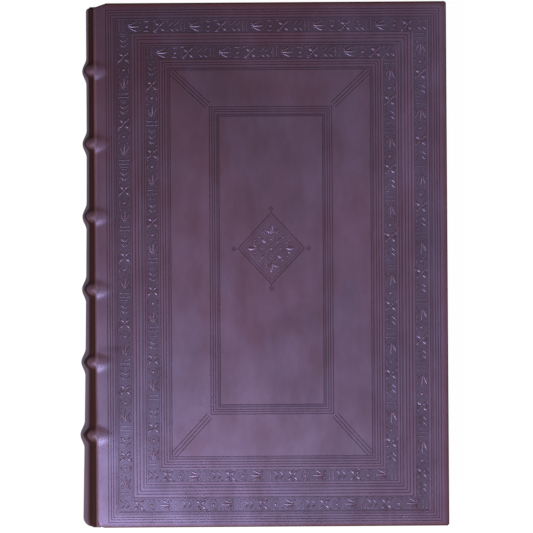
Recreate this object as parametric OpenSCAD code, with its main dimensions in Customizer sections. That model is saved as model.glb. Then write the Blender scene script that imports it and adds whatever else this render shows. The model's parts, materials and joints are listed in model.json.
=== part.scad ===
// A folio book in full calf, lying on its back cover with the spine to the left (-X) and the head at +Y.
// The pages are sewn on six raised cords. The cords are laced into pasteboard covers, and one skin of calf
// is drawn over boards and spine, moulded over the cords and tooled in blind. Millimetres throughout.

/* [Covers] */
// Height of a covered board from head to tail
cover_h = 390; // [370:1:420]
// Width of a covered board from joint to fore-edge
cover_w = 262; // [250:1:290]
// Thickness of the pasteboard
board_t = 3.2; // [2.8:0.1:4]
// Thickness of the calf over the boards
leather_t = 1.2; // [1.1:0.05:1.4]
// Thickness of the pared calf where it is turned in, and of the paper that levels it
turn_in_t = 0.5; // [0.4:0.05:0.7]
// How far the calf is turned in over the edges
turn_in_w = 16; // [12:1:20]
// Radius of the covered edges
edge_r = 1.2; // [0.8:0.1:1.6]
// Cut at the head corner next to the joint, along the head and down the joint
head_cut = [9.5, 4.4]; // [3:0.1:12]
// Radius of the tail corner next to the joint
tail_corner_r = 6.5; // [4:0.5:8]
// Radius of the two corners at the fore-edge
fore_corner_r = 1.6; // [1:0.2:3]

/* [Pages] */
// Thickness of the pressed pages between the flyleaves
pages_t = 38; // [30:1:46]
// How far the covers reach past the pages at head, tail and fore-edge
square_w = 5.5; // [5:0.5:7]
// Thickness of the flyleaves and pastedowns
paper_t = 0.25; // [0.2:0.05:0.4]
// Depth of the hollow fore-edge
fore_hollow = 6.5; // [4:0.5:8]
// Slack between a pastedown and its flyleaf
slack = 0.2; // [0.1:0.05:0.3]

/* [Spine] */
// How far the rounded spine stands out past the covers
spine_out = 7; // [6.6:0.1:7.6]
// Thickness of the calf on the spine
spine_leather_t = 1; // [0.9:0.05:1.1]
// Thickness of the lining between the bands
lining_t = 0.3; // [0.2:0.05:0.35]
// How far a raised band stands out past the spine
band_rise = 3.1; // [2.8:0.1:3.4]
// Half the width of a band at its foot
band_half_w = 10.2; // [8:0.1:11]
// Distance of the first band from the head of the covers
first_band = 49.8; // [44:0.1:54]
// Distance from band to band
band_pitch = 54.3; // [52:0.1:56]
// Radius of a sewing cord
cord_r = 1.7; // [1.5:0.05:1.8]
// How far the cap at the head lies below the head of the covers
head_cap_drop = 2.8; // [2.4:0.1:3.2]
// Radius of the rolled cap at the head
head_cap_r = 2.2; // [1.8:0.1:2.4]
// Radius of the rolled cap at the tail
tail_cap_r = 7; // [6.8:0.1:7.2]
// Radius of an endband with its silk
endband_r = 1; // [0.9:0.05:1]
// Radius of an endband's core
endband_core_r = 0.65; // [0.5:0.05:0.75]

/* [Joints] */
// Distance of the hinge line from the edge of the covers
hinge_in = 2.4; // [2.3:0.05:2.5]
// Radius of the calf lip that runs along the hinge line
lip_r = 0.55; // [0.4:0.05:0.6]
// Clearance round the lip
lip_gap = 0.3; // [0.25:0.05:0.35]
// Radius of a laced-in slip, at the joint and at its far end
slip_r = [1.7, 0.5]; // [0.4:0.1:1.8]
// Length of a laced-in slip
slip_l = 12.5; // [10:0.5:14]
// Height of the swelling of the calf over a slip
swell_h = 1.4; // [1:0.1:1.6]
// Half the width of a swelling at the joint
swell_half_w = 7; // [6:0.5:8]
// Length of a swelling
swell_l = 11; // [9:0.5:13]

/* [Tooling] */
// Depth of the lines and rolls in the calf
tool_depth = 0.35; // [0.2:0.05:0.5]
// Outer fillet: distance from joint, fore-edge, head and tail
fillet_1 = [8.6, 5.2, 4.9, 3.7]; // [3:0.1:10]
// Second fillet: distance from joint, fore-edge, head and tail
fillet_2 = [27.3, 26.1, 22, 22]; // [20:0.1:30]
// Third fillet: distance from joint, fore-edge, head and tail
fillet_3 = [48.2, 48.6, 42, 44.4]; // [40:0.1:52]
// Fillet of the middle panel: distance from joint, fore-edge, head and tail
fillet_4 = [85.2, 85.2, 77.3, 83.7]; // [74:0.1:90]
// Widths of the four fillets, from the outside in
fillet_w = [7.8, 10, 8.2, 7.3]; // [6:0.1:11]
// Widths of the outer and inner rolls
roll_w = [9.6, 9.2]; // [7:0.1:10]
// Length of one turn of the roll's pattern
roll_pitch = 50; // [48:1:56]
// Height of the centre ornament above the middle of the cover
ornament_y = 12; // [0:1:20]

/* [Hidden] */

calf = "#5e4858";
paper = "#e4d6b8";
pasteboard = "#a08a68";
hemp = "#c2ac7e";
linen = "#d8ccb0";
silk_thread = "#b89a5e";
fine = 96;
over = 1;

// Stack, from the face that the book rests on upwards
cover_t = leather_t + board_t + turn_in_t + paper_t;
book_t = 2 * (cover_t + slack + paper_t) + pages_t;
mid_z = book_t / 2;
pages_half = pages_t / 2;

// Plan: the book is centred on its whole width, bands included
book_w = cover_w + spine_out + band_rise;
joint_x = spine_out + band_rise - book_w / 2;
fore_x = joint_x + cover_w;
half_h = cover_h / 2;
pages_half_h = half_h - square_w;
hinge_x = joint_x - hinge_in;
hinge_half = mid_z - cover_t / 2;
bands = [for (i = [0:5]) half_h - first_band - i * band_pitch];

// The rounded spine is an arc through both hinge lines
spine_sag = spine_out - hinge_in;
spine_r = (hinge_half * hinge_half + spine_sag * spine_sag) / (2 * spine_sag);
spine_x = joint_x - spine_out + spine_r;
leather_in_r = spine_r - spine_leather_t;
pages_r = leather_in_r - lining_t;
spine_turn = asin((hinge_half - 0.5) / spine_r);

// A band is a flatter arc that sinks into the spine before it reaches the hinge lines
band_end = hinge_half - 4.6;
band_sag = band_rise + spine_r - sqrt(spine_r * spine_r - band_end * band_end);
band_r = (band_end * band_end + band_sag * band_sag) / (2 * band_sag);
band_x = joint_x - spine_out - band_rise + band_r;
band_turn = 42;
band_foot_r = band_r - band_rise - 0.5;
cord_seat = 0.15;
cord_path_r = band_r - spine_leather_t - cord_r - cord_seat;

// Shoulders that the pages were backed into, against the edges of the boards
shoulder_z = hinge_half - 1.4;
shoulder_x = hinge_x + 0.9;
shoulder_foot_x = joint_x + 0.1;

// Places along the spine
head_cap_y = half_h - head_cap_drop;
kettle_y = pages_half_h - 12;
kettle_r = 0.3;
endband_path_r = pages_r - 1.7;
endband_y = pages_half_h + endband_r;
lining_gap = 4.2;

// Boards inside their calf, in the cover's own frame with the outer face at z = 0
board_x = joint_x + 0.8;
calf_edge = 1.1;
slip_x = joint_x + 1.8;
flat_slip_r = [leather_t - 0.3, 0.4];
swell_r = (swell_half_w * swell_half_w + swell_h * swell_h) / (2 * swell_h);
peg_r = 1.2;
peg_x = slip_x + slip_l - 3;
pastedown_in = 4.5;

// Points on an arc in the plane
function arc(c, r, from, to, n = 8) =
    [for (i = [0:n]) let (a = from + (to - from) * i / n) c + r * [cos(a), sin(a)]];

// A plane outline pushed along the height of the book
module along_height(h, y = 0) {
    translate([0, y, 0])
        rotate([90, 0, 0])
            linear_extrude(height = h, center = true)
                children();
}

// An outline in radius and height turned round an arc of the spine
module round_spine(x, turn) {
    translate([x, 0, mid_z])
        rotate([-90, 0, 0])
            rotate([0, 0, 180 - turn])
                rotate_extrude(angle = 2 * turn, $fn = fine)
                    children();
}

// A round bar bent round an arc of the spine
module bent_bar(x, path_r, r, y, turn) {
    round_spine(x, turn)
        translate([path_r, y])
            circle(r = r, $fn = fine);
}

// Plan of a covered board, in by an amount from its edges
module cover_outline(inset, left) {
    cut = [joint_x + head_cut[0], half_h - inset];
    polygon(concat(
        [[left, half_h - head_cut[1] - inset], cut],
        arc([fore_x - fore_corner_r, half_h - fore_corner_r], fore_corner_r - inset, 90, 0),
        arc([fore_x - fore_corner_r, fore_corner_r - half_h], fore_corner_r - inset, 0, -90),
        arc([joint_x + tail_corner_r, tail_corner_r - half_h], tail_corner_r - inset, -90, -150, 6),
        [[left, tail_corner_r - half_h + 0.5]]
    ));
}

// Section of the covering from head to tail, rounded at both edges
module edge_section() {
    t = leather_t + board_t + turn_in_t;
    c = [half_h - edge_r, edge_r];
    polygon(concat(
        arc([c[0], c[1]], edge_r, -90, 0),
        arc([c[0], t - edge_r], edge_r, 0, 90),
        arc([-c[0], t - edge_r], edge_r, 90, 180),
        arc([-c[0], c[1]], edge_r, 180, 270)
    ));
}

// Section of the covering from joint to fore-edge: rounded fore-edge, hollow joint and lip on the hinge line
module joint_section() {
    t = leather_t + board_t + turn_in_t;
    lip_z = cover_t / 2;
    run = hinge_in + 1.8;
    fall = lip_z - lip_r;
    polygon(concat(
        arc([fore_x - edge_r, edge_r], edge_r, -90, 0),
        arc([fore_x - edge_r, t - edge_r], edge_r, 0, 90),
        [[board_x, t], [board_x, lip_z + lip_r]],
        arc([hinge_x, lip_z], lip_r, 90, 270, 10),
        [for (i = [1:8]) [hinge_x + run * i / 8, fall * (1 + cos(180 * i / 8)) / 2]]
    ));
}

// One laced-in slip: a tapered tongue on the board's outer face
module tongue(r, y) {
    translate([slip_x, y, leather_t]) {
        rotate([0, 90, 0])
            cylinder(h = slip_l, r1 = r[0], r2 = r[1], $fn = fine);
        sphere(r = r[0], $fn = fine);
    }
}

// The outer half of each tongue, down to the board's face
module tongues(r) {
    for (y = bands)
        intersection() {
            tongue(r, y);
            translate([slip_x - 4, y - 4, leather_t - 4])
                cube([slip_l + 8, 8, 4]);
        }
}

// The calf swells broadly over each slip, rises steeply out of the joint and fades towards the fore-edge
module swellings() {
    taper = (swell_h + 0.1) / swell_l;
    lead = 3.5;
    lip_z = cover_t / 2;
    end = hinge_x + swell_l + lead + 1;
    slope = [[-0.1, 0.2], [0.5, 0.9], [1, 1.7], [1.35, 2.5], [1.8, 3.3], [2.5, 3.9], [3.4, 4.3]];
    for (y = bands)
        intersection() {
            along_height(2 * swell_half_w + 8, y)
                polygon(concat(
                    [for (p = slope) [hinge_x + p[0], lip_z - p[1]]],
                    [[end, lip_z - 4.3], [end, 1], [board_x - 0.3, 1], [hinge_x + 0.1, lip_z]]
                ));
            translate([hinge_x - 1, y, swell_r - swell_h])
                rotate([0, 90, 0])
                    cylinder(h = swell_l + lead, r1 = swell_r + lead * taper, r2 = swell_r - swell_l * taper,
                        $fn = fine * 2);
        }
}

// Pegs where the slips pass through the board
module pegs(grow = 0) {
    for (y = bands)
        translate([peg_x, y, leather_t - grow])
            cylinder(h = board_t + 2 * grow, r = peg_r, $fn = fine);
}

// Paper that levels the board between the turn-ins
module infill_outline() {
    translate([board_x, turn_in_w - half_h])
        square([cover_w - turn_in_w - 0.8, cover_h - 2 * turn_in_w]);
}

module bare_board() {
    difference() {
        translate([0, 0, leather_t])
            linear_extrude(height = board_t)
                intersection() {
                    cover_outline(calf_edge, board_x);
                    translate([board_x, -half_h])
                        square([cover_w, cover_h]);
                }
        pegs(over);
    }
}

module slips(r) {
    tongues(r);
    pegs();
}

module infill() {
    translate([0, 0, leather_t + board_t])
        linear_extrude(height = turn_in_t)
            infill_outline();
}

module pastedown() {
    translate([board_x, pastedown_in - half_h, cover_t - paper_t])
        cube([fore_x - board_x - pastedown_in, cover_h - 2 * pastedown_in, paper_t]);
}

// The calf of one cover, before tooling: drawn round the board and turned in
module skin(slip) {
    difference() {
        intersection() {
            along_height(cover_h + 2 * over)
                joint_section();
            rotate([90, 0, 90])
                translate([0, 0, hinge_x - 2])
                    linear_extrude(height = cover_w + 10)
                        edge_section();
            translate([0, 0, -over])
                linear_extrude(height = cover_t + 2 * over)
                    cover_outline(0, hinge_x - 1);
        }
        translate([0, 0, leather_t])
            linear_extrude(height = board_t)
                intersection() {
                    cover_outline(calf_edge, board_x);
                    translate([board_x, -half_h])
                        square([cover_w, cover_h]);
                }
        translate([0, 0, leather_t + board_t])
            linear_extrude(height = turn_in_t + over)
                infill_outline();
        tongues(slip);
    }
}

// A rectangle on the cover, in from joint, fore-edge, head and tail
module panel(d) {
    translate([joint_x + d[0], d[3] - half_h])
        square([cover_w - d[0] - d[1], cover_h - d[2] - d[3]]);
}

// One ruled line all round a panel
module ruled_frame(d, w) {
    difference() {
        panel(d);
        panel(d + [w, w, w, w]);
    }
}

// A fillet: five lines, the fourth one broad
module fillet(d, w) {
    line_w = [0.6, 0.6, 0.6, 1.2, 0.6];
    place = [0, 0.25, 0.48, 0.72, 0.95];
    for (i = [0:4])
        ruled_frame(d + w * place[i] * [1, 1, 1, 1], line_w[i]);
}

// Three lines from a corner of the third fillet to the same corner of the middle panel
module mitre(p, q) {
    run = q - p;
    for (s = [-2.3, 0, 2.3])
        translate(p)
            rotate(atan2(run[1], run[0]))
                translate([0, s - 0.3])
                    square([norm(run), 0.6]);
}

module mitres() {
    a = fillet_3 + fillet_w[2] * [1, 1, 1, 1];
    b = fillet_4;
    left = [joint_x + a[0] + 1, joint_x + b[0] - 1];
    right = [fore_x - a[1] - 1, fore_x - b[1] + 1];
    top = [half_h - a[2] - 1, half_h - b[2] + 1];
    bottom = [a[3] - half_h + 1, b[3] - half_h - 1];
    mitre([left[0], top[0]], [left[1], top[1]]);
    mitre([right[0], top[0]], [right[1], top[1]]);
    mitre([left[0], bottom[0]], [left[1], bottom[1]]);
    mitre([right[0], bottom[0]], [right[1], bottom[1]]);
}

// One turn of the roll: bars, palmette, rosette in a ring, crossed leaves and chevrons left standing
module roll_pattern() {
    for (x = [1.6, 4.4])
        translate([x - 0.5, -3.9])
            square([1, 7.8]);
    polygon([[7, 0.5], [15.4, 3.7], [13.2, 0.9], [17.2, 0], [13.2, -0.9], [15.4, -3.7], [7, -0.5]]);
    translate([22.2, 0]) {
        difference() {
            circle(r = 3.7, $fn = 32);
            circle(r = 2.7, $fn = 32);
        }
        circle(r = 1.2, $fn = 32);
    }
    for (a = [45:90:315])
        translate([31.6, 0])
            rotate(a)
                polygon([[0.7, 0], [3, 1.2], [5.2, 0], [3, -1.2]]);
    for (x = [38.6, 42.4])
        polygon([[x, 0], [x + 3, 3.8], [x + 4.4, 3.8], [x + 1.6, 0], [x + 4.4, -3.8], [x + 3, -3.8]]);
}

// A rolled strip from one point to another: a sunk ground with the pattern standing in it
module rolled_strip(from, to, w) {
    run = to - from;
    turns = round(norm(run) / roll_pitch);
    pitch = norm(run) / turns;
    translate(from)
        rotate(atan2(run[1], run[0]))
            difference() {
                translate([0, -w / 2])
                    square([norm(run), w]);
                for (i = [0:turns - 1])
                    translate([i * pitch, 0])
                        roll_pattern();
            }
}

// A roll run round the cover between two fillets
module roll(outer, outer_w, inner, w) {
    c = (outer + inner + outer_w * [1, 1, 1, 1]) / 2;
    left = joint_x + c[0];
    right = fore_x - c[1];
    top = half_h - c[2];
    bottom = c[3] - half_h;
    rolled_strip([left, bottom + w / 2], [left, top - w / 2], w);
    rolled_strip([right, top - w / 2], [right, bottom + w / 2], w);
    rolled_strip([left - w / 2, top], [right + w / 2, top], w);
    rolled_strip([right + w / 2, bottom], [left - w / 2, bottom], w);
}

// A lozenge line about the middle of the ornament
module lozenge(a, b, w) {
    difference() {
        polygon([[a, 0], [0, b], [-a, 0], [0, -b]]);
        polygon([[a - w, 0], [0, b - w * b / a], [w - a, 0], [0, w * b / a - b]]);
    }
}

// A ring line
module ring(r, w) {
    difference() {
        circle(r = r, $fn = 48);
        circle(r = r - w, $fn = 48);
    }
}

// A leaf of a given length and width, pointed at both ends
module leaf(l, w) {
    polygon([[0, 0], [l * 0.25, w * 0.4], [l / 2, w / 2], [l * 0.75, w * 0.4],
        [l, 0], [l * 0.75, -w * 0.4], [l / 2, -w / 2], [l * 0.25, -w * 0.4]]);
}

// The forms that stand in the ornament: a four-lobed knot of rings, with leaves and buds
module knot() {
    ring(3, 0.7);
    circle(r = 1.1, $fn = 32);
    for (a = [0:90:270])
        rotate(a) {
            translate([6.8, 0]) {
                ring(3.4, 0.7);
                circle(r = 0.8, $fn = 24);
            }
            translate([10.6, 0])
                leaf(7.4, 3);
            for (s = [-1, 1])
                translate([12.6, s * 5])
                    circle(r = 1.2, $fn = 24);
            rotate(45) {
                translate([5.5, 0])
                    leaf(5.4, 2);
                translate([12.2, 0])
                    circle(r = 0.9, $fn = 24);
            }
        }
}

// The centre ornament: a ruled lozenge round a sunk one with the knot, and a small lozenge off each point
module ornament() {
    lozenge(25, 27, 0.8);
    difference() {
        polygon([[22.5, 0], [0, 24.3], [-22.5, 0], [0, -24.3]]);
        knot();
    }
    for (p = [[27.6, 0], [-27.6, 0], [0, 29.6], [0, -29.6]])
        translate(p)
            polygon([[1.9, 0], [0, 2.1], [-1.9, 0], [0, -2.1]]);
}

module pressed(depth) {
    translate([0, 0, -over])
        linear_extrude(height = over + depth)
            children();
}

module tooling() {
    pressed(tool_depth) {
        fillet(fillet_1, fillet_w[0]);
        fillet(fillet_2, fillet_w[1]);
        fillet(fillet_3, fillet_w[2]);
        fillet(fillet_4, fillet_w[3]);
        mitres();
    }
    pressed(tool_depth)
        roll(fillet_1, fillet_w[0], fillet_2, roll_w[0]);
    pressed(tool_depth)
        roll(fillet_2, fillet_w[1], fillet_3, roll_w[1]);
    pressed(tool_depth)
        translate([joint_x + cover_w / 2, ornament_y])
            ornament();
}

// The front cover is built like the back one and turned over
module to_front() {
    translate([0, 0, book_t])
        mirror([0, 0, 1])
            children();
}

// Everything that the boards leave to the spine: the wedge between the two shoulders
module between_shoulders(grow) {
    z = shoulder_z + grow;
    foot = pages_half + grow;
    far = joint_x - 20;
    translate([0, 0, mid_z])
        along_height(cover_h + 2 * over)
            polygon([
                [far, z], [shoulder_x, z], [shoulder_foot_x, foot], [fore_x, foot],
                [fore_x, -foot], [shoulder_foot_x, -foot], [shoulder_x, -z], [far, -z]
            ]);
}

module text_block() {
    pages_x = fore_x - square_w;
    hollow_r = (pages_half * pages_half + fore_hollow * fore_hollow) / (2 * fore_hollow);
    color(paper)
        difference() {
            intersection() {
                between_shoulders(0);
                translate([0, 0, mid_z])
                    along_height(2 * pages_half_h)
                        difference() {
                            union() {
                                translate([spine_x, 0])
                                    circle(r = pages_r, $fn = fine * 2);
                                translate([spine_x - pages_r / 2, -pages_t])
                                    square([pages_x - spine_x + pages_r / 2, 2 * pages_t]);
                            }
                            translate([pages_x - fore_hollow + hollow_r, 0])
                                circle(r = hollow_r, $fn = fine * 2);
                        }
            }
            for (s = [-1, 1])
                bent_bar(spine_x, pages_r - 0.02, kettle_r, s * kettle_y, spine_turn + 4);
        }
}

module flyleaf() {
    w = fore_x - square_w - joint_x - 0.9;
    translate([joint_x + 0.6, 0.5 - pages_half_h, 0])
        cube([w, 2 * pages_half_h - 1, paper_t]);
}

module front_flyleaf() {
    color(paper)
        translate([0, 0, mid_z + pages_half])
            flyleaf();
}

module rear_flyleaf() {
    color(paper)
        translate([0, 0, mid_z - pages_half - paper_t])
            flyleaf();
}

// A cord lies on the backs of the sections and thins out towards the joints
module sewing_cord(i) {
    color(hemp)
        difference() {
            bent_bar(band_x, cord_path_r, cord_r, bands[i], band_turn);
            translate([spine_x, bands[i], mid_z])
                rotate([90, 0, 0])
                    cylinder(h = 4 * cord_r, r = pages_r, center = true, $fn = fine * 2);
        }
}

// Linings fill the panels between the bands, and stop short of the kettle stitches
module spine_lining(i) {
    top = i == 0 ? kettle_y - 1.5 : bands[i - 1] - lining_gap;
    bottom = i == 6 ? 1.5 - kettle_y : bands[i] + lining_gap;
    color(linen)
        round_spine(spine_x, asin((shoulder_z - 0.3) / spine_r))
            translate([pages_r, bottom])
                square([lining_t, top - bottom]);
}

module kettle_stitch(side) {
    color(linen)
        bent_bar(spine_x, pages_r - 0.02, kettle_r, side * kettle_y, asin((shoulder_z - 1) / spine_r));
}

module endband(side, r) {
    bent_bar(spine_x, endband_path_r, r, side * endband_y, asin((pages_half - 0.6) / endband_path_r));
}

module endband_core(side) {
    color(hemp)
        endband(side, endband_core_r);
}

module endband_silk(side) {
    color(silk_thread)
        difference() {
            endband(side, endband_r);
            endband(side, endband_core_r);
        }
}

// Outer form of the spine with its rolled caps, in radius and height
module spine_section() {
    head_c = [spine_r - head_cap_r, head_cap_y - head_cap_r];
    tail_c = [spine_r - tail_cap_r, tail_cap_r - half_h];
    head_in = endband_path_r - endband_r - 0.1;
    tail_in = spine_r - tail_cap_r - 0.4;
    polygon(concat(
        [[head_in, pages_half_h - 30], [head_in, head_cap_y]],
        arc(head_c, head_cap_r, 90, 0),
        arc(tail_c, tail_cap_r, 0, -90, 12),
        [[tail_in, -half_h], [tail_in, 30 - pages_half_h]]
    ));
}

// Room inside the spine leather for the pages, the linings and the endbands
module spine_inside() {
    band_top = pages_half_h + 2 * endband_r + 0.1;
    polygon([
        [0, -band_top - 0.6], [leather_in_r - 1.6, -band_top - 0.6], [leather_in_r - 0.3, 0.3 - band_top],
        [leather_in_r, 1.4 - pages_half_h], [leather_in_r, pages_half_h],
        [leather_in_r - 0.2, band_top], [0, band_top]
    ]);
}

// A raised band has a round crest and hollow flanks
module band_section(y) {
    rise = band_r - band_foot_r;
    steps = 12;
    polygon(concat(
        [[band_foot_r - 4, y + band_half_w]],
        [for (i = [0:steps]) let (t = 1 - 2 * i / steps)
            [band_foot_r + rise * (1 + cos(180 * t)) / 2, y + band_half_w * t]],
        [[band_foot_r - 4, y - band_half_w]]
    ));
}

// The plain skin between the two joints, with its caps
module spine_skin() {
    difference() {
        intersection() {
            round_spine(spine_x, spine_turn)
                spine_section();
            between_shoulders(0.25);
        }
        round_spine(spine_x, spine_turn + 10)
            spine_inside();
    }
}

// The part of a band that stands out of the skin
module raised_band(y) {
    difference() {
        round_spine(band_x, band_turn)
            band_section(y);
        round_spine(spine_x, spine_turn + 20)
            translate([spine_r / 5, y - band_half_w - over])
                square([spine_r * 4 / 5 - spine_leather_t / 2, 2 * (band_half_w + over)]);
    }
}

module spine_leather() {
    color(calf)
        difference() {
            union() {
                spine_skin();
                for (y = bands)
                    raised_band(y);
            }
            for (y = bands)
                bent_bar(band_x, cord_path_r, cord_r, y, band_turn + 2);
            for (s = [-1, 1])
                translate([hinge_x, 0, mid_z + s * hinge_half])
                    rotate([90, 0, 0])
                        cylinder(h = cover_h + 2 * over, r = lip_r + lip_gap, center = true, $fn = fine);
        }
}

module front_board() {
    color(pasteboard)
        to_front()
            bare_board();
}

module front_cord_slips() {
    color(hemp)
        to_front()
            slips(slip_r);
}

module front_board_infill() {
    color(linen)
        to_front()
            infill();
}

module front_pastedown() {
    color(paper)
        to_front()
            pastedown();
}

module front_cover_leather() {
    color(calf)
        to_front()
            difference() {
                union() {
                    skin(slip_r);
                    difference() {
                        swellings();
                        tongues(slip_r);
                    }
                }
                tooling();
            }
}

module back_board() {
    color(pasteboard)
        bare_board();
}

module back_cord_slips() {
    color(hemp)
        slips(flat_slip_r);
}

module back_board_infill() {
    color(linen)
        infill();
}

module back_pastedown() {
    color(paper)
        pastedown();
}

module back_cover_leather() {
    color(calf)
        skin(flat_slip_r);
}

text_block();
front_flyleaf();
rear_flyleaf();
sewing_cord(0);  // sewing_cord_1
sewing_cord(1);  // sewing_cord_2
sewing_cord(2);  // sewing_cord_3
sewing_cord(3);  // sewing_cord_4
sewing_cord(4);  // sewing_cord_5
sewing_cord(5);  // sewing_cord_6
spine_lining(0);  // spine_lining_1
spine_lining(1);  // spine_lining_2
spine_lining(2);  // spine_lining_3
spine_lining(3);  // spine_lining_4
spine_lining(4);  // spine_lining_5
spine_lining(5);  // spine_lining_6
spine_lining(6);  // spine_lining_7
kettle_stitch(1);  // kettle_stitch_head
kettle_stitch(-1);  // kettle_stitch_tail
endband_core(1);  // head_endband_core
endband_silk(1);  // head_endband_silk
endband_core(-1);  // tail_endband_core
endband_silk(-1);  // tail_endband_silk
spine_leather();
front_board();
front_cord_slips();
front_board_infill();
front_pastedown();
front_cover_leather();
back_board();
back_cord_slips();
back_board_infill();
back_pastedown();
back_cover_leather();
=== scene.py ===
import json
import math
from contextlib import contextmanager

import bmesh
import bpy
from mathutils import Matrix, Vector, noise


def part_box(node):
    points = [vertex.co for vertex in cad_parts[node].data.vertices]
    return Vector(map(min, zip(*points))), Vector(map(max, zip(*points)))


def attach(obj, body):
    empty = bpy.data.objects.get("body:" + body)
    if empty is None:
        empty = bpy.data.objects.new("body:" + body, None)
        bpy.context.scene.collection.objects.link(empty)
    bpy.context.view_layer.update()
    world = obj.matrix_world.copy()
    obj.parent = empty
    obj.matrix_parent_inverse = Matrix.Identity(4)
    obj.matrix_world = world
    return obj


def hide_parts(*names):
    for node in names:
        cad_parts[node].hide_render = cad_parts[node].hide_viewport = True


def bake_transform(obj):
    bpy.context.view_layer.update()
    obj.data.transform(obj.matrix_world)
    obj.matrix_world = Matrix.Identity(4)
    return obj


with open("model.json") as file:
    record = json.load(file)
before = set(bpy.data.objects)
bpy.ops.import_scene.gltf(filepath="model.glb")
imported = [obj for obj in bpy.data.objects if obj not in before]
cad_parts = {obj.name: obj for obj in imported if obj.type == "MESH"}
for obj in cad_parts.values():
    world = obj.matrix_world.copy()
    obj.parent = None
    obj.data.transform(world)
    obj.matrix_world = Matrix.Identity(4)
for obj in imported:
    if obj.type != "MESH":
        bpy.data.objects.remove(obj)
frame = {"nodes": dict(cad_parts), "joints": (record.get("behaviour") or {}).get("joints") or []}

bl_info = {
    "name": "Calf Folio",
    "version": (1, 0, 0),
    "blender": (4, 5, 0),
    "location": "View3D > Sidebar > Calf Folio",
    "description": "Covers, spine, leaves and finishes of a blind-tooled folio in full calf",
    "category": "Object",
}

MM = 0.001
QUARTER_TURN = math.pi / 2

# Places closer than NEAR count as the same place on the book, points closer than MERGE become
# one, and a cut closer than SNAP to a point goes through it
NEAR = 0.05 * MM
MERGE = 2e-7
SNAP = 1e-6

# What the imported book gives
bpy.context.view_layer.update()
HINGES = {joint["name"]: Vector(joint["pos_m"]) for joint in frame["joints"]}
HINGE = HINGES["front_cover_hinge"]
BOARD_LOW, BOARD_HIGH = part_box("front_board")
SKIN_LOW, SKIN_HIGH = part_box("front_cover_leather")
SPINE_LOW, SPINE_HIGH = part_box("spine_leather")
PAGES_LOW, PAGES_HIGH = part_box("text_block")
FLYLEAF_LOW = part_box("front_flyleaf")[0]
REAR_FLYLEAF_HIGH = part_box("rear_flyleaf")[1]
FACE_Z = HINGES["front_cover_hinge"].z + HINGES["back_cover_hinge"].z
MID_Z = FACE_Z / 2
FORE_X = SKIN_HIGH.x
HALF_H = SKIN_HIGH.y
CALF_T = FACE_Z - BOARD_HIGH.z
BOARD_DEPTH = FACE_Z - BOARD_LOW.z
SKIN_DEPTH = FACE_Z - SKIN_LOW.z
LIP_R = HINGE.x - SKIN_LOW.x
HINGE_HALF = HINGE.z - MID_Z

# A fillet's five lines: place across the fillet as a share of its width, and the line's width in mm
FILLET_LINES = [(0, 0.6), (0.25, 0.6), (0.48, 0.6), (0.72, 1.2), (0.95, 0.6)]

# Half the width and half the height of the outer ruled lozenge
LOZENGE = (25 * MM, 27 * MM)

# The board's unevenness: waves in a metre across and along, their place in the noise, and height in mm
UNEVENNESS = [(11, 8, 0.3, 0.16), (40, 34, 4.1, 0.09)]

# The unevenness starts at the edges and is full this far inside them, in mm
LEVEL_RIM = 9


def linear(hex_colour):
    """The linear values of an sRGB colour written as a hex string."""
    found = []
    for i in (1, 3, 5):
        c = int(hex_colour[i : i + 2], 16) / 255
        found.append(c / 12.92 if c <= 0.04045 else ((c + 0.055) / 1.055) ** 2.4)
    return (*found, 1.0)


def colour(name, description, default):
    return bpy.props.FloatVectorProperty(
        name=name, description=description, default=linear(default), size=4, subtype="COLOR", min=0, max=1
    )


def number(name, description, default, **kind):
    return bpy.props.FloatProperty(name=name, description=description, default=default, **kind)


def length(name, description, default):
    """A length, with its default in mm."""
    return number(name, description, default * MM, unit="LENGTH")


def insets(name, default):
    """Distances from the four edges of a cover, with their defaults in mm."""
    return bpy.props.FloatVectorProperty(
        name=name,
        description="Distances from joint, fore-edge, head and tail",
        default=[d * MM for d in default],
        size=4,
        unit="LENGTH",
    )


class CalfSettings(bpy.types.PropertyGroup):
    """Sizes and colours of the calf"""

    cover_w: length("Cover width", "Width of a covered board from joint to fore-edge", 262)
    edge_r: length("Edge radius", "Radius of the covered edges", 1.2)
    turn_in: length("Turn-in", "How far the calf is turned in over the edges", 16)
    head_cut_x: length("Head cut along the head", "Cut at the head corner by the joint", 9.5)
    head_cut_y: length("Head cut down the joint", "Cut at the head corner by the joint", 4.4)
    tail_r: length("Tail corner radius", "Radius of the tail corner by the joint", 6.5)
    joint_run: length("Joint run", "Width of the hollow joint on the cover", 4.2)
    swelling: length("Swelling", "Height of the calf over a laced-in slip", 1.4)
    swelling_w: length("Swelling half-width", "Half the width of a swelling at the joint", 7)
    swelling_l: length("Swelling length", "Length of a swelling on the cover", 11)
    flat: colour("Calf", "Dyed and polished calf on the covers", "#4a2625")
    cloudy: colour("Calf, darker clouds", "Darker clouds in the dye", "#3a2120")
    tooled: colour("Tooled calf", "Calf darkened by the warm tool", "#241715")
    # Painted shade: a red-brown for the rim where the calf rounds over the edges, and for the sides of the
    # joint's groove
    edge: colour("Edge shade", "Red-brown calf along the edges", "#4c2823")
    # Painted shade: dark brown down in the joint's groove and in the creases by the swellings
    joint: colour("Joint", "Dark calf down in the joint", "#321b16")
    gloss: colour("Polish", "Tint of the waxed shine", "#c4bcff")
    turned: colour("Turn-in", "Calf turned in over the boards", "#5a3f3c")


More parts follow.
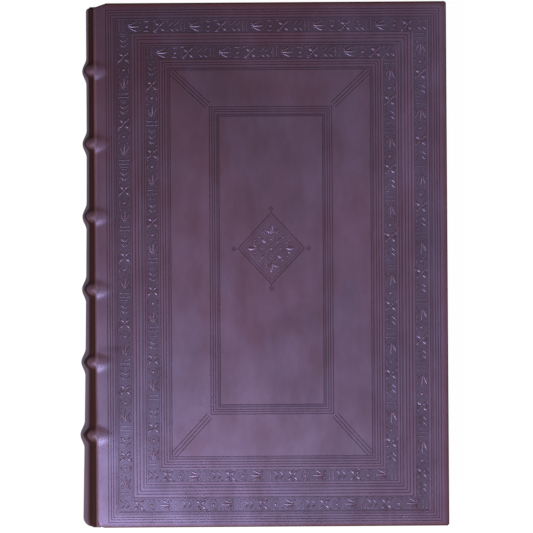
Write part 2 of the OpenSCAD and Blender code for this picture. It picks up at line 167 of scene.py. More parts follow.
class ToolingSettings(bpy.types.PropertyGroup):
    """Sizes of the blind tooling"""

    depth: length("Depth", "Depth of the lines and rolls", 0.35)
    slope: length("Slope", "Width of a line's sloping side", 0.2)
    fillet_1: insets("Outer fillet", (8.6, 5.2, 4.9, 3.7))
    fillet_2: insets("Second fillet", (27.3, 26.1, 22, 22))
    fillet_3: insets("Third fillet", (48.2, 48.6, 42, 44.4))
    fillet_4: insets("Middle panel", (85.2, 85.2, 77.3, 83.7))
    fillet_w: insets("Fillet widths", (7.8, 10, 8.2, 7.3))
    outer_roll_w: length("Outer roll", "Width of the outer roll", 9.6)
    inner_roll_w: length("Inner roll", "Width of the inner roll", 9.2)
    roll_pitch: length("Roll turn", "Length of one turn of the roll's pattern", 50)
    mitre_gap: length("Mitre spacing", "Distance between the three mitred lines", 2.3)
    mitre_w: length("Mitre line", "Width of a mitred line", 0.6)
    ornament_y: length("Ornament height", "Middle of the ornament above the middle of the cover", 12)


class SpineSettings(bpy.types.PropertyGroup):
    """Sizes of the spine and its bands"""

    band_rise: length("Band rise", "How far a raised band stands out", 3.1)
    band_half_w: length("Band half-width", "Half the width of a band at its foot", 10.2)
    first_band: length("First band", "Distance of the first band from the head of the covers", 49.8)
    band_pitch: length("Band spacing", "Distance from band to band", 54.3)
    band_fade: length("Band fade", "Where a band sinks into the spine, from the hinge line", 4.6)
    head_cap_r: length("Head cap", "Radius of the rolled cap at the head", 2.2)
    tail_cap_r: length("Tail cap", "Radius of the rolled cap at the tail", 7)
    leather_t: length("Calf thickness", "Thickness of the calf on the spine", 1)
    fullness: length("Fullness", "How much rounder the spine is at the tail", 4.5)
    full_below: length("Full below", "Height above the middle where the spine starts to grow rounder", 120)
    bend_half_w: length("Bend half-width", "Half the width of a band where it bends over the joint", 6.8)
    calf: colour("Spine calf", "Calf on the spine", "#61424a")


class PagesSettings(bpy.types.PropertyGroup):
    """Sizes and colours of the leaves and endbands"""

    leaves: bpy.props.IntProperty(name="Leaves", description="Number of leaves", default=236, min=50)
    fore_hollow: length("Hollow fore-edge", "Depth of the hollow fore-edge", 6.5)
    edge: colour("Leaf edge", "Cut edges of rag paper", "#cdbb93")
    dusty: colour("Dusty edge", "Dust and handling on the edges", "#a58d63")
    sheet: colour("Endpaper", "Laid endpaper", "#ddcfae")
    foxing: colour("Foxing", "Brown spots in old paper", "#b08a55")
    board: colour("Pasteboard", "Grey-brown pasteboard", "#998465")
    hemp: colour("Hemp", "Hemp cord", "#b9a273")
    linen: colour("Linen", "Linen thread and lining", "#d2c5a6")
    silk: colour("Silk", "Undyed silk of the endbands", "#c9b384")
    silk_dark: colour("Dyed silk", "Dyed silk of the endbands", "#6e4a35")


class StageSettings(bpy.types.PropertyGroup):
    """Camera, floor and lamps"""

    floor: colour("Floor", "Pale floor", "#bdb8c6")
    glow: number("Floor white", "How bright the camera sees the floor's white", 1.08)
    view_w: length("View width", "Width that the photograph's frame covers at the cover", 396.2)
    view_x: length("View across", "Middle of the view, across", 1.35)
    view_y: length("View up", "Middle of the view, up", -1.5)
    distance: length("Distance", "Distance of the camera from the cover", 3500)
    turn: number("Turn", "Turn of the book", math.radians(0.38), subtype="ANGLE")
    window_w: number("Window", "Power of the large soft lamp, in watts", 8.2)
    fill_w: number("Fill", "Power of the weaker lamp, in watts", 3.4)
    sky: number("Room light", "Strength of the plain room light", 0.085)


PREFIX = "calf_folio_"
SETTINGS = {
    "calf": CalfSettings,
    "tooling": ToolingSettings,
    "spine": SpineSettings,
    "pages": PagesSettings,
    "stage": StageSettings,
}


def settings(name):
    return getattr(bpy.context.scene, PREFIX + name)


# Working with meshes


def pick(*objects):
    """Selects only these objects, and makes the first of them the active one."""
    bpy.ops.object.select_all(action="DESELECT")
    for obj in objects:
        obj.select_set(True)
    bpy.context.view_layer.objects.active = objects[0]


def primitive(add, name, scale=(1, 1, 1), **fields):
    """A new mesh from one of Blender's basic forms, with its place and size put into its points."""
    bpy.ops.object.select_all(action="DESELECT")
    add(**fields)
    obj = bpy.context.object
    obj.scale = scale
    bpy.ops.object.transform_apply(location=True, rotation=True, scale=True)
    obj.name = name
    obj.data.name = name
    return obj


@contextmanager
def editing(obj):
    """The mesh in edit mode, with nothing selected."""
    pick(obj)
    bpy.ops.object.mode_set(mode="EDIT")
    bpy.ops.mesh.select_all(action="DESELECT")
    yield obj
    bpy.ops.object.mode_set(mode="OBJECT")


def choose(obj, kind, test):
    """Selects the vertices, edges or faces that pass a test."""
    bpy.ops.mesh.select_mode(type=kind)
    bpy.ops.mesh.select_all(action="DESELECT")
    mesh = bmesh.from_edit_mesh(obj.data)
    for item in {"VERT": mesh.verts, "EDGE": mesh.edges, "FACE": mesh.faces}[kind]:
        if test(item):
            item.select_set(True)
    bmesh.update_edit_mesh(obj.data)


def cut(obj, point, normal, where=None, drop_outer=False):
    """Cuts the chosen faces, or all, along a plane."""
    choose(obj, "FACE", where or (lambda face: True))
    bpy.ops.mesh.bisect(
        plane_co=point, plane_no=normal, use_fill=False, clear_outer=drop_outer, threshold=SNAP
    )


def blank(name, xs, ys, z):
    """A flat sheet with a cut at each given x and y, as leather is marked out before it is formed."""
    middle = ((xs[0] + xs[-1]) / 2, (ys[0] + ys[-1]) / 2, z)
    size = (xs[-1] - xs[0], ys[-1] - ys[0], 1)
    obj = primitive(bpy.ops.mesh.primitive_plane_add, name, size, size=1, location=middle)
    with editing(obj):
        for x in xs[1:-1]:
            cut(obj, (x, 0, z), (1, 0, 0))
        for y in ys[1:-1]:
            cut(obj, (0, y, z), (0, 1, 0))
    return obj


def stations(places, low, high, step):
    """The places between low and high, with more between them wherever a gap is wider than a step."""
    closest = 0.02 * MM
    kept = sorted({round(p, 7) for p in places if low < p < high} | {low, high})
    found = []
    for a, b in zip(kept, kept[1:]):
        if found and b - a < closest:
            continue
        parts = max(1, math.ceil((b - a) / step))
        found += [a + (b - a) * i / parts for i in range(parts)]
    return found + [high]


def tidy(obj):
    """Merges doubles and turns every face outwards."""
    with editing(obj):
        bpy.ops.mesh.select_all(action="SELECT")
        bpy.ops.mesh.remove_doubles(threshold=MERGE)
        bpy.ops.mesh.select_all(action="SELECT")
        bpy.ops.mesh.normals_make_consistent(inside=False)


def apply(obj, kind, **fields):
    """Gives an object a modifier and applies it."""
    pick(obj)
    modifier = obj.modifiers.new(kind, kind)
    for field, value in fields.items():
        setattr(modifier, field, value)
    bpy.ops.object.modifier_apply(modifier=modifier.name)


def soften(obj, angle=50, weighted=True):
    """Smooth shading, with broad faces kept flat."""
    pick(obj)
    bpy.ops.object.shade_smooth_by_angle(angle=math.radians(angle))
    if weighted:
        apply(obj, "WEIGHTED_NORMAL", keep_sharp=True)


def copy_of(obj, name, matrix):
    """A copy of a modelled form with its own mesh, moved there."""
    made = obj.copy()
    made.data = obj.data.copy()
    made.name = name
    made.data.transform(matrix)
    bpy.context.scene.collection.objects.link(made)
    return made


def joined(name, parts):
    pick(*parts)
    bpy.ops.object.join()
    made = bpy.context.object
    made.name = name
    made.data.name = name
    return made


def store(obj, name, values):
    """Writes an attribute with one value for each vertex."""
    obj.data.attributes.new(name, "FLOAT", "POINT").data.foreach_set("value", values)


def paint(obj, name, value):
    """Writes an attribute from a function of each vertex's place."""
    store(obj, name, [value(v.co) for v in obj.data.vertices])


def smooth(x):
    """0 below 0, 1 above 1, and a soft step between."""
    x = min(1.0, max(0.0, x))
    return x * x * (3 - 2 * x)


def ramp(x, start, run):
    """A soft step along a length, with its start and its run in mm."""
    return smooth((x - start * MM) / (run * MM))


def hump(x):
    """1 at 0, falling softly to 0 at -1 and 1."""
    return smooth(1 - abs(x))


def arc_radius(half, rise):
    """Radius of the arc over a chord, from half the chord and the arc's height."""
    return (half**2 + rise**2) / (2 * rise)


# The calf's own forms, shared by the pieces


def joint_x():
    return FORE_X - settings("calf").cover_w


def rim(co):
    """Distance from the nearest of fore-edge, head and tail."""
    return min(FORE_X - co.x, HALF_H - abs(co.y))


def bands():
    s = settings("spine")
    return [HALF_H - s.first_band - i * s.band_pitch for i in range(6)]


def joint_fall(x):
    """How far the calf dips towards the hinge line."""
    t = (x - HINGE.x) / settings("calf").joint_run
    if t >= 1:
        return 0.0
    return (FACE_Z - HINGE.z - LIP_R) * (1 + math.cos(math.pi * max(0.0, t))) / 2


def swelling_arch(x, y):
    """Height of the round arch of calf over the nearest slip, below zero beside it."""
    s = settings("calf")
    crown = 2.5 * MM
    sunk = 0.1 * MM
    taper = (s.swelling + sunk) / s.swelling_l
    away = min(abs(y - band) for band in bands())
    r = arc_radius(s.swelling_w, s.swelling)
    return s.swelling + (HINGE.x + crown - x) * taper - away * away / (2 * r)


def swelling(x, y):
    """Height of the calf over the slips that are laced into the board."""
    arch = swelling_arch(x, y)
    crease = 0.3 * MM
    return (arch + math.hypot(arch, crease)) / 2 * ramp(x - HINGE.x, 1, 2.5)


def waviness(x, y):
    """The slight unevenness of a board under calf."""
    return sum(h * noise.noise(Vector((x * across, y * up, at))) for across, up, at, h in UNEVENNESS) * MM


def inward(x, y, distances):
    """Distance inside a ruled rectangle."""
    joint, fore, head, tail = distances
    return min(x - joint_x() - joint, FORE_X - fore - x, HALF_H - head - y, y + HALF_H - tail)


def corners(distances):
    """The corners of a ruled rectangle: by the joint at head and tail, then by the fore-edge."""
    joint, fore, head, tail = distances
    xs = (joint_x() + joint, FORE_X - fore)
    return [Vector((x, y)) for x in xs for y in (HALF_H - head, tail - HALF_H)]


def rolls():
    """The two rolls, as the distances of their middle line and their width."""
    t = settings("tooling")
    return [
        ([(a + b + fillet_w) / 2 for a, b in zip(outer, inner)], w)
        for outer, inner, fillet_w, w in (
            (t.fillet_1, t.fillet_2, t.fillet_w[0], t.outer_roll_w),
            (t.fillet_2, t.fillet_3, t.fillet_w[1], t.inner_roll_w),
        )
    ]


def rules():
    """Every ruled line and rolled strip, as its distances from the four edges and its width."""
    t = settings("tooling")
    fillets = [t.fillet_1, t.fillet_2, t.fillet_3, t.fillet_4]
    lines = [
        ([d + width * place for d in fillet], line_w * MM)
        for fillet, width in zip(fillets, t.fillet_w)
        for place, line_w in FILLET_LINES
    ]
    return lines + [([d - w / 2 for d in middle], w) for middle, w in rolls()]


def mitres():
    """The corner lines from the third fillet to the middle panel, as start and end points."""
    t = settings("tooling")
    gap = 1 * MM
    starts = corners([d + t.fillet_w[2] + gap for d in t.fillet_3])
    return list(zip(starts, corners([d - gap for d in t.fillet_4])))


def lozenge_size(p, half_w=LOZENGE[0], half_h=LOZENGE[1]):
    """1 on a lozenge round the middle, less inside it."""
    return abs(p.x) / half_w + abs(p.y) / half_h


def ornament_middle():
    return Vector((joint_x() + settings("calf").cover_w / 2, settings("tooling").ornament_y))


def joint_shade(along, full=0.0):
    """How dark the painted shade of the joint's groove is, from the hinge line towards the cover or, below
    zero, the spine.
    """
    if along > 0:
        return 1 - ramp(along, 1.4, 1.6)
    return 1 - ramp(-along, 1, 1.8 + full / MM)


# The tooling


def cut_mitres(skin):
    """Cuts the three lines that run from each corner of the third fillet to the middle panel."""
    t = settings("tooling")
    shifts = (-t.mitre_gap, 0, t.mitre_gap)
    beyond, beside = 2 * MM, 5 * MM
    marked = []
    for start, end in mitres():
        run = (end - start).length
        along = (end - start).normalized()
        across = Vector((-along.y, along.x))

        def near(face, start=start, along=along, across=across, run=run):
            p = face.calc_center_bounds().xy - start
            return -beyond < p.dot(along) < run + beyond and abs(p.dot(across)) < t.mitre_gap + beside

        for shift in shifts:
            for side in (-0.5, 0.5):
                edge = start + across * (shift + side * t.mitre_w)
                cut(skin, (*edge, FACE_Z), (*across, 0), near)
        for point in (start, end):
            cut(skin, (*point, FACE_Z), (*along, 0), near)
        marked.append((start, along, across, run))

    def in_mitre(x, y):
        for start, along, across, run in marked:
            p = Vector((x, y)) - start
            side = p.dot(across)
            if 0 < p.dot(along) < run and any(abs(side - shift) < t.mitre_w / 2 for shift in shifts):
                return True
        return False

    return in_mitre


def cut_lozenges(skin):
    """Cuts the ruled lozenge, the sunk lozenge inside it and a small lozenge off each point."""
    middle = ornament_middle()
    half_w, half_h = LOZENGE
    line = 1 - 0.8 * MM / half_w
    sunk = 0.9
    off = 2.6 * MM
    drop_w, drop_h = 1.9 * MM, 2.1 * MM
    reach_w, reach_h, drop_reach = 36 * MM, 38 * MM, 6 * MM
    drops = [Vector((way * (half_w + off), 0)) for way in (1, -1)]
    drops += [Vector((0, way * (half_h + off))) for way in (1, -1)]

    def rhombus(centre, a, b, near):
        for sx in (-1, 1):
            for sy in (-1, 1):
                point = centre + Vector((sx * a, 0))
                cut(skin, (*point, FACE_Z), (sx * b, sy * a, 0), near)

    def middle_faces(face):
        p = face.calc_center_bounds().xy - middle
        return abs(p.x) < reach_w and abs(p.y) < reach_h

    for share in (1, line, sunk):
        rhombus(middle, half_w * share, half_h * share, middle_faces)
    for drop in drops:
        centre = middle + drop

        def drop_faces(face, centre=centre):
            return (face.calc_center_bounds().xy - centre).length < drop_reach

        rhombus(centre, drop_w, drop_h, drop_faces)

    def in_ornament(x, y):
        p = Vector((x, y)) - middle
        ring = lozenge_size(p)
        if ring < sunk or line < ring < 1:
            return True
        return any(lozenge_size(p - drop, drop_w, drop_h) < 1 for drop in drops)

    return in_ornament


def sink(skin, test):
    """Presses the chosen faces into the calf with sloping sides."""
    t = settings("tooling")
    choose(skin, "FACE", lambda face: test(*face.calc_center_median().xy))
    bpy.ops.mesh.inset(thickness=t.slope, depth=-t.depth, use_boundary=True, use_even_offset=True)


# The covers


def cover_plan(tooled):
    """Where the calf of a cover is cut, across and along."""
    s = settings("calf")
    joint_steps = 8
    xs = [HINGE.x + s.joint_run * i / joint_steps for i in range(joint_steps + 1)]
    ys = []
    if tooled:
        for (joint, fore, head, tail), w in rules():
            xs += [joint_x() + joint, joint_x() + joint + w, FORE_X - fore, FORE_X - fore - w]
            ys += [HALF_H - head, HALF_H - head - w, tail - HALF_H, tail + w - HALF_H]
    step = (7 if tooled else 14) * MM
    reach = HALF_H - s.edge_r
    return stations(xs, HINGE.x, FORE_X - s.edge_r, step), stations(ys, -reach, reach, step)


def trim_corners(skin):
    """Cuts the two corners by the joint and takes the points off the two at the fore-edge."""
    s = settings("calf")
    beyond, point = 1 * MM, 0.5 * MM
    head = HALF_H - s.edge_r
    a = Vector((HINGE.x - beyond, head - s.head_cut_y))
    b = Vector((joint_x() + s.head_cut_x, head))
    run = b - a
    cuts = [(b, (-run.y, run.x))]
    centre = Vector((joint_x() + s.tail_r, s.tail_r - HALF_H))
    r = s.tail_r - s.edge_r
    for angle in (-105, -125, -145):
        out = Vector((math.cos(math.radians(angle)), math.sin(math.radians(angle))))
        cuts.append((centre + out * r, out))
    cuts += [((FORE_X - s.edge_r - point, sign * head), (1, sign)) for sign in (-1, 1)]
    for place, out in cuts:
        cut(skin, (*place, FACE_Z), (*out, 0), drop_outer=True)


def mark_outline(skin):
    """Keeps the outline's place and outward direction on its own points, for the turned edges."""
    mesh = bmesh.from_edit_mesh(skin.data)
    base = mesh.verts.layers.float_vector.new("base")
    out = mesh.verts.layers.float_vector.new("outward")
    for v in mesh.verts:
        edges = [e for e in v.link_edges if e.is_boundary]
        if not edges:
            continue
        sides = []
        for e in edges:
            run = (e.verts[1].co - e.verts[0].co).normalized()
            normal = Vector((-run.y, run.x, 0))
            face = e.link_faces[0].calc_center_median()
            if normal.dot(face - v.co) > 0:
                normal.negate()
            sides.append(normal.normalized())
        total = sides[0] + sides[-1]
        v[base] = v.co
        v[out] = total / max(0.5, 1 + sides[0].dot(sides[-1]))
    bmesh.update_edit_mesh(skin.data)


def turn_edge(skin, place):
    """Draws the outline out by one step, to where place puts each of its points."""
    bpy.ops.mesh.extrude_region()
    mesh = bmesh.from_edit_mesh(skin.data)
    base = mesh.verts.layers.float_vector["base"]
    out = mesh.verts.layers.float_vector["outward"]
    for v in mesh.verts:
        if v.select:
            v.co = place(v[base].copy(), v[out].copy())
    bmesh.update_edit_mesh(skin.data)


def turn_edges(skin):
    """Rounds the calf over the edges, turns it in and closes it round the board."""
    s = settings("calf")
    lip_depth = FACE_Z - HINGE.z + LIP_R
    inner_x = FORE_X - s.edge_r - s.turn_in
    inner_y = HALF_H - s.edge_r - s.turn_in

    def is_lip(base):
        return base.x < BOARD_LOW.x - NEAR

    def round_over(angle, lower):
        def place(base, out):
            depth = lip_depth if is_lip(base) else SKIN_DEPTH
            reach = LIP_R if base.x < HINGE.x + NEAR else s.edge_r
            r = min(s.edge_r, (depth - (FACE_Z - base.z)) / 2)
            if lower:
                point = base + out * reach * math.cos(angle)
                point.z = FACE_Z - depth + r - r * math.sin(angle)
                return point
            return base + out * reach * math.sin(angle) - Vector((0, 0, r * (1 - math.cos(angle))))

        return place

    def inside(depth, outwards):
        def place(base, out):
            if is_lip(base):
                end = HALF_H - s.edge_r - CALF_T
                y = max(-end, min(end, base.y))
                return Vector((BOARD_LOW.x, y, FACE_Z - min(depth, lip_depth)))
            if outwards:
                point = base + out * (s.edge_r - CALF_T)
            else:
                point = Vector((min(base.x, inner_x), max(-inner_y, min(inner_y, base.y)), 0))
            point.x = max(BOARD_LOW.x, point.x)
            point.z = FACE_Z - depth
            return point

        return place

    quarter = [math.radians(a) for a in (22.5, 45, 67.5, 90)]
    steps = [round_over(angle, False) for angle in quarter]
    steps += [round_over(angle, True) for angle in (0, *quarter)]
    steps += [inside(SKIN_DEPTH, False), inside(BOARD_DEPTH, False)]
    steps += [inside(BOARD_DEPTH, True), inside(CALF_T, True)]
    choose(skin, "EDGE", lambda edge: edge.is_boundary)
    for step in steps:
        turn_edge(skin, step)
    bpy.ops.mesh.edge_face_add()


def near_bands(skin):
    """Finer cuts where the calf is moulded over the slips."""
    s = settings("calf")
    beyond, step = 4 * MM, 1 * MM
    cuts, cuts_in_half_width = 10, 7
    reach = HINGE.x + s.swelling_l + beyond

    def strip(face):
        return face.calc_center_bounds().x < reach

    x = HINGE.x + s.joint_run + step
    while x < reach:
        cut(skin, (x, 0, FACE_Z), (1, 0, 0), strip)
        x += step
    for band in bands():
        for i in range(-cuts, cuts + 1):
            cut(skin, (0, band + i * s.swelling_w / cuts_in_half_width, FACE_Z), (0, 1, 0), strip)


def cover_skin(name, tooled):
    """The calf of one cover as it lies on the front: tooled, turned over the edges, drawn to the joint."""
    xs, ys = cover_plan(tooled)
    skin = blank(name, xs, ys, FACE_Z)
    with editing(skin):
        if tooled:
            near_bands(skin)
            in_mitre = cut_mitres(skin)
            in_ornament = cut_lozenges(skin)
            ruled = rules()

            def pressed(x, y):
                return (
                    any(0 < inward(x, y, distances) < w for distances, w in ruled)
                    or in_mitre(x, y)
                    or in_ornament(x, y)
                )

            sink(skin, pressed)
        trim_corners(skin)
        mesh = bmesh.from_edit_mesh(skin.data)
        for v in mesh.verts:
            v.co.z -= joint_fall(v.co.x)
        mark_outline(skin)
        turn_edges(skin)
    tidy(skin)
    for layer in ("base", "outward"):
        skin.data.attributes.remove(skin.data.attributes[layer])
    return skin


def dress_cover(skin, tooled):
    """Unevenness and swellings of the outer face, where the calf is pressed, and where painted shade darkens
    it along the rounded edges and in the joint's groove and creases.
    """
    t = settings("tooling")
    face_depth, edge_rim = 0.5 * MM, 2.2 * MM
    sunk, sunk_share = 0.92, 0.3
    depths = [FACE_Z - joint_fall(v.co.x) - v.co.z for v in skin.data.vertices]

    def warmed(depth, co):
        if depth >= face_depth or rim(co) < edge_rim:
            return 0.0
        share = min(1.0, max(0.0, depth / t.depth))
        return share * (sunk_share if lozenge_size(co.xy - ornament_middle()) < sunk else 1)

    # Painted shade in the joint's groove, and in the creases at the foot of each swelling near the joint
    def joint_and_crease_shade(co):
        along = co.x - HINGE.x
        crease = 1 - ramp(abs(swelling_arch(co.x, co.y)), 0, 0.2)
        return max(joint_shade(along), 0.6 * crease * (1 - ramp(along, 3, 5)))

    store(skin, "tooled", [warmed(depth, v.co) for depth, v in zip(depths, skin.data.vertices)])
    # Painted shade: a red-brown rim where the calf rounds over the edges
    paint(skin, "edge", lambda co: 1 - ramp(rim(co), 0.3, 2.4) if co.x > joint_x() else 0)
    # Painted shade of the joint's groove and its creases
    paint(skin, "joint", joint_and_crease_shade)
    paint(skin, "inside", lambda co: ramp(FACE_Z - co.z, 4.2, 0.5))
    for depth, v in zip(depths, skin.data.vertices):
        if depth < face_depth:
            x, y = v.co.x, v.co.y
            away = ramp(rim(v.co), 0, LEVEL_RIM) * ramp(x - HINGE.x, 0, LEVEL_RIM)
            v.co.z += waviness(x, y) * away
            if tooled:
                v.co.z += swelling(x, y)


# The roll's standing pattern


def roll_forms():
    """The forms that stand in the roll: bar, leaf, dot, ring and scroll, each one unit across or long."""
    height = settings("tooling").depth
    bar = primitive(bpy.ops.mesh.primitive_cube_add, "bar", size=1)
    with editing(bar):
        choose(bar, "FACE", lambda face: face.normal.z > 0.9)
        bpy.ops.transform.resize(value=(0.62, 0.94, 1))
        bpy.ops.mesh.bevel(offset=0.1, offset_type="OFFSET", segments=2, affect="EDGES")
    forms = {"bar": bar}

    for name, rings, turn in (("dot", 6, 0), ("leaf", 8, QUARTER_TURN)):
        forms[name] = primitive(
            bpy.ops.mesh.primitive_uv_sphere_add,
            name,
            segments=10,
            ring_count=rings,
            radius=0.5,
            rotation=(0, turn, 0),
        )
    pointed = 0.35
    for v in forms["leaf"].data.vertices:
        taper = math.sqrt(max(0.0, 1 - (2 * v.co.x) ** 2))
        v.co.y *= taper * pointed + (1 - pointed) * taper**0.5
        v.co.x += 0.5

    forms["ring"] = primitive(
        bpy.ops.mesh.primitive_torus_add,
        "ring",
        major_radius=0.44,
        minor_radius=0.06,
        major_segments=24,
        minor_segments=6,
    )
    forms["scroll"] = scroll_form()
    for form in forms.values():
        tallest = max(v.co.z for v in form.data.vertices)
        for v in form.data.vertices:
            v.co.z *= height / tallest
    return forms


def scroll_form():
    """A thread bent nearly round, tallest where it starts."""
    sweep = math.radians(300)
    zero = 1e-6
    scroll = primitive(
        bpy.ops.mesh.primitive_circle_add,
        "scroll",
        vertices=8,
        radius=0.12,
        location=(0.5, 0, 0),
        rotation=(QUARTER_TURN, 0, 0),
    )
    with editing(scroll):
        bpy.ops.mesh.select_all(action="SELECT")
        bpy.ops.mesh.edge_face_add()
        bpy.ops.mesh.spin(steps=14, angle=sweep, center=(0, 0, 0), axis=(0, 0, 1))
    for v in scroll.data.vertices:
        angle = math.atan2(v.co.y, v.co.x)
        along = (angle if abs(angle) > zero or v.co.x < 0 else 0.0) % (2 * math.pi)
        share = min(1.0, min(along, abs(2 * math.pi - along)) / sweep)
        v.co.z *= 4 * (1 - 0.5 * share)
    tidy(scroll)
    return scroll


def stamp(forms, pattern):
    """Copies of the forms, as a pattern gives them: form, x, y, turn in degrees, length and width in mm."""
    parts = []
    for form, x, y, turn, long, wide in pattern:
        matrix = (
            Matrix.Translation((x * MM, y * MM, 0))
            @ Matrix.Rotation(math.radians(turn), 4, "Z")
            @ Matrix.Diagonal((long * MM, wide * MM, 1, 1))
        )
        parts.append(copy_of(forms[form], form, matrix))
    return parts


def roll_turn():
    """One turn of the roll: bars, a palmette, a rosette in a ring, crossed leaves and chevrons."""
    rosette_x, rosette_r = 31.6, 0.7
    pattern = [("bar", x, 0, 0, 1.0, 7.8) for x in (1.6, 4.4)]
    pattern += [("leaf", 7.4, 0, 0, 9.8, 1.9)]
    for side in (-1, 1):
        pattern += [
            ("leaf", 8.2, side * 0.5, side * 25, 8.0, 1.5),
            ("scroll", 8.7, side * 2.7, side * 80, 2.1, 2.1),
            ("dot", 17.0, side * 3.0, 0, 1.1, 1.1),
            ("leaf", 19.6, side * 3.6, 0, 5.2, 0.9),
            ("leaf", 26.0, side * 3.7, side * 10, 4.4, 1.0),
            ("leaf", 38.6, 0, side * 46, 5.4, 1.3),
            ("leaf", 42.4, 0, side * 46, 5.4, 1.3),
            ("scroll", rosette_x, side * 3.1, side * 200, 1.6, 1.6),
            ("dot", 37.4, side * 3.4, 0, 1.0, 1.0),
        ]
    pattern += [("ring", 22.2, 0, 0, 6.8, 6.8), ("dot", 22.2, 0, 0, 2.3, 2.3)]
    for turn in (45, 135, 225, 315):
        c, s = math.cos(math.radians(turn)), math.sin(math.radians(turn))
        pattern.append(("leaf", rosette_x + rosette_r * c, rosette_r * s, turn, 4.5, 1.9))
    pattern += [("dot", rosette_x, 0, 0, 1.5, 1.5)]
    return pattern + [("bar", 47.2, 0, 0, 0.7, 3.6), ("bar", 48.6, 0, 0, 0.7, 5.2)]


def roll_strips():
    """The eight rolled strips as start, run and turns of the pattern."""
    pitch = settings("tooling").roll_pitch
    found = []
    for (joint, fore, head, tail), w in rolls():
        left, right = joint_x() + joint, FORE_X - fore
        top, bottom = HALF_H - head, tail - HALF_H
        for start, end in (
            ((left, bottom + w / 2), (left, top - w / 2)),
            ((right, top - w / 2), (right, bottom + w / 2)),
            ((left - w / 2, top), (right + w / 2, top)),
            ((right + w / 2, bottom), (left - w / 2, bottom)),
        ):
            run = Vector(end) - Vector(start)
            found.append((Vector(start), run, max(1, round(run.length / pitch))))
    return found


def lay_on_cover(obj):
    """Sets flat relief on the sunk ground and lets it follow the cover's unevenness."""
    overlap = 0.04 * MM
    ground = FACE_Z - settings("tooling").depth
    for v in obj.data.vertices:
        v.co.z += ground - overlap + waviness(v.co.x, v.co.y) * ramp(rim(v.co), 0, LEVEL_RIM)


def rolled_relief(forms):
    """The pattern that stands in the two rolls, one turn of it after another."""
    turn = joined("turn", stamp(forms, roll_turn()))
    parts = []
    for start, run, turns in roll_strips():
        heading = Matrix.Rotation(math.atan2(run.y, run.x), 4, "Z")
        for i in range(turns):
            place = start + run * i / turns
            parts.append(copy_of(turn, "turn", Matrix.Translation((*place, 0)) @ heading))
    bpy.data.objects.remove(turn)
    relief = joined("front_roll_relief", parts)
    lay_on_cover(relief)
    return relief


# A quarter of the centre ornament, as a pattern; its rings and dots keep the same turn in all four
CENTRE_QUARTER = [
    ("ring", 6.8, 0, 0, 6.8, 6.8),
    ("dot", 6.8, 0, 0, 1.5, 1.5),
    ("leaf", 10.6, 0, 0, 7.4, 3.0),
    ("leaf", 11.2, -0.8, -48, 4.6, 1.5),
    ("scroll", 12.6, -5.0, -60, 2.6, 2.6),
    ("leaf", 11.2, 0.8, 48, 4.6, 1.5),
    ("scroll", 12.6, 5.0, 60, 2.6, 2.6),
    ("leaf", 3.9, 3.9, 45, 5.4, 2.0),
    ("dot", 8.6, 8.6, 0, 1.8, 1.8),
]


def centre_relief(forms):
    """The knot, leaves and buds that stand in the middle lozenge."""
    pattern = [("ring", 0, 0, 0, 6, 6), ("dot", 0, 0, 0, 2.2, 2.2)]
    for quarter in (0, 90, 180, 270):
        c, s = math.cos(math.radians(quarter)), math.sin(math.radians(quarter))
        for form, x, y, turn, long, wide in CENTRE_QUARTER:
            turned = 0 if form in ("ring", "dot") else quarter + turn
            pattern.append((form, c * x - s * y, s * x + c * y, turned, long, wide))
    relief = joined("front_centre_relief", stamp(forms, pattern))
    relief.data.transform(Matrix.Translation((*ornament_middle(), 0)))
    lay_on_cover(relief)
    return relief


# The spine and the joints


def spine_arc():
    """Middle and radius of the arc through the two hinge lines."""
    outer = SPINE_LOW.x + settings("spine").band_rise
    r = arc_radius(HINGE_HALF, HINGE.x - outer)
    return outer + r, r


def band_arc():
    """Middle and radius of the flatter arc along a band's crest."""
    s = settings("spine")
    r = spine_arc()[1]
    end = HINGE_HALF - s.band_fade
    band_r = arc_radius(end, s.band_rise + r - math.sqrt(r * r - end * end))
    return SPINE_LOW.x + band_r, band_r


def band_rise(angle, y):
    """How far the spine stands out over its cords, at an angle from its middle."""
    wide = settings("spine").band_half_w
    x, r = spine_arc()
    crest_x, crest_r = band_arc()
    gap = (x - crest_x) * math.cos(angle)
    inside = gap * gap - (x - crest_x) ** 2 + crest_r**2
    crest = gap + math.sqrt(max(0.0, inside)) - r
    return max(0.0, crest) * max(
        (1 + math.cos(math.pi * min(1.0, abs(y - band) / wide))) / 2 for band in bands()
    )


def on_arc(angle, r, y):
    return Vector((spine_arc()[0] - r * math.cos(angle), y, MID_Z + r * math.sin(angle)))


def fullness(y):
    """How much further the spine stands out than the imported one."""
    s = settings("spine")
    growth, drawn_in = 1.6, 0.3 * MM
    low = max(0.0, s.full_below - y) / (s.full_below + HALF_H)
    return s.fullness * low**growth - drawn_in


def filled(point):
    """A point of the spine, moved out by its share of the fullness."""
    share = 1 - ((point.z - MID_Z) / HINGE_HALF) ** 2
    return point - Vector((fullness(point.y) * max(0.0, share), 0, 0))


def on_spine(angle, r, y):
    return filled(on_arc(angle, r, y))


def caps():
    """The caps at head and tail: where each starts along the spine, which way it goes and its radius."""
    s = settings("spine")
    return (
        (SPINE_HIGH.y - s.head_cap_r, 1, s.head_cap_r),
        (SPINE_LOW.y + s.tail_cap_r, -1, s.tail_cap_r),
    )


def rolled_cap(along):
    """Where a place along the unrolled spine comes to lie, and how far it is rolled in at head or tail."""
    for start, way, r in caps():
        turn = way * (along - start) / r
        if turn > 0:
            bent = min(turn, QUARTER_TURN)
            return start + way * r * math.sin(bent), r * (1 - math.cos(bent)) + r * (turn - bent)
    return along, 0.0


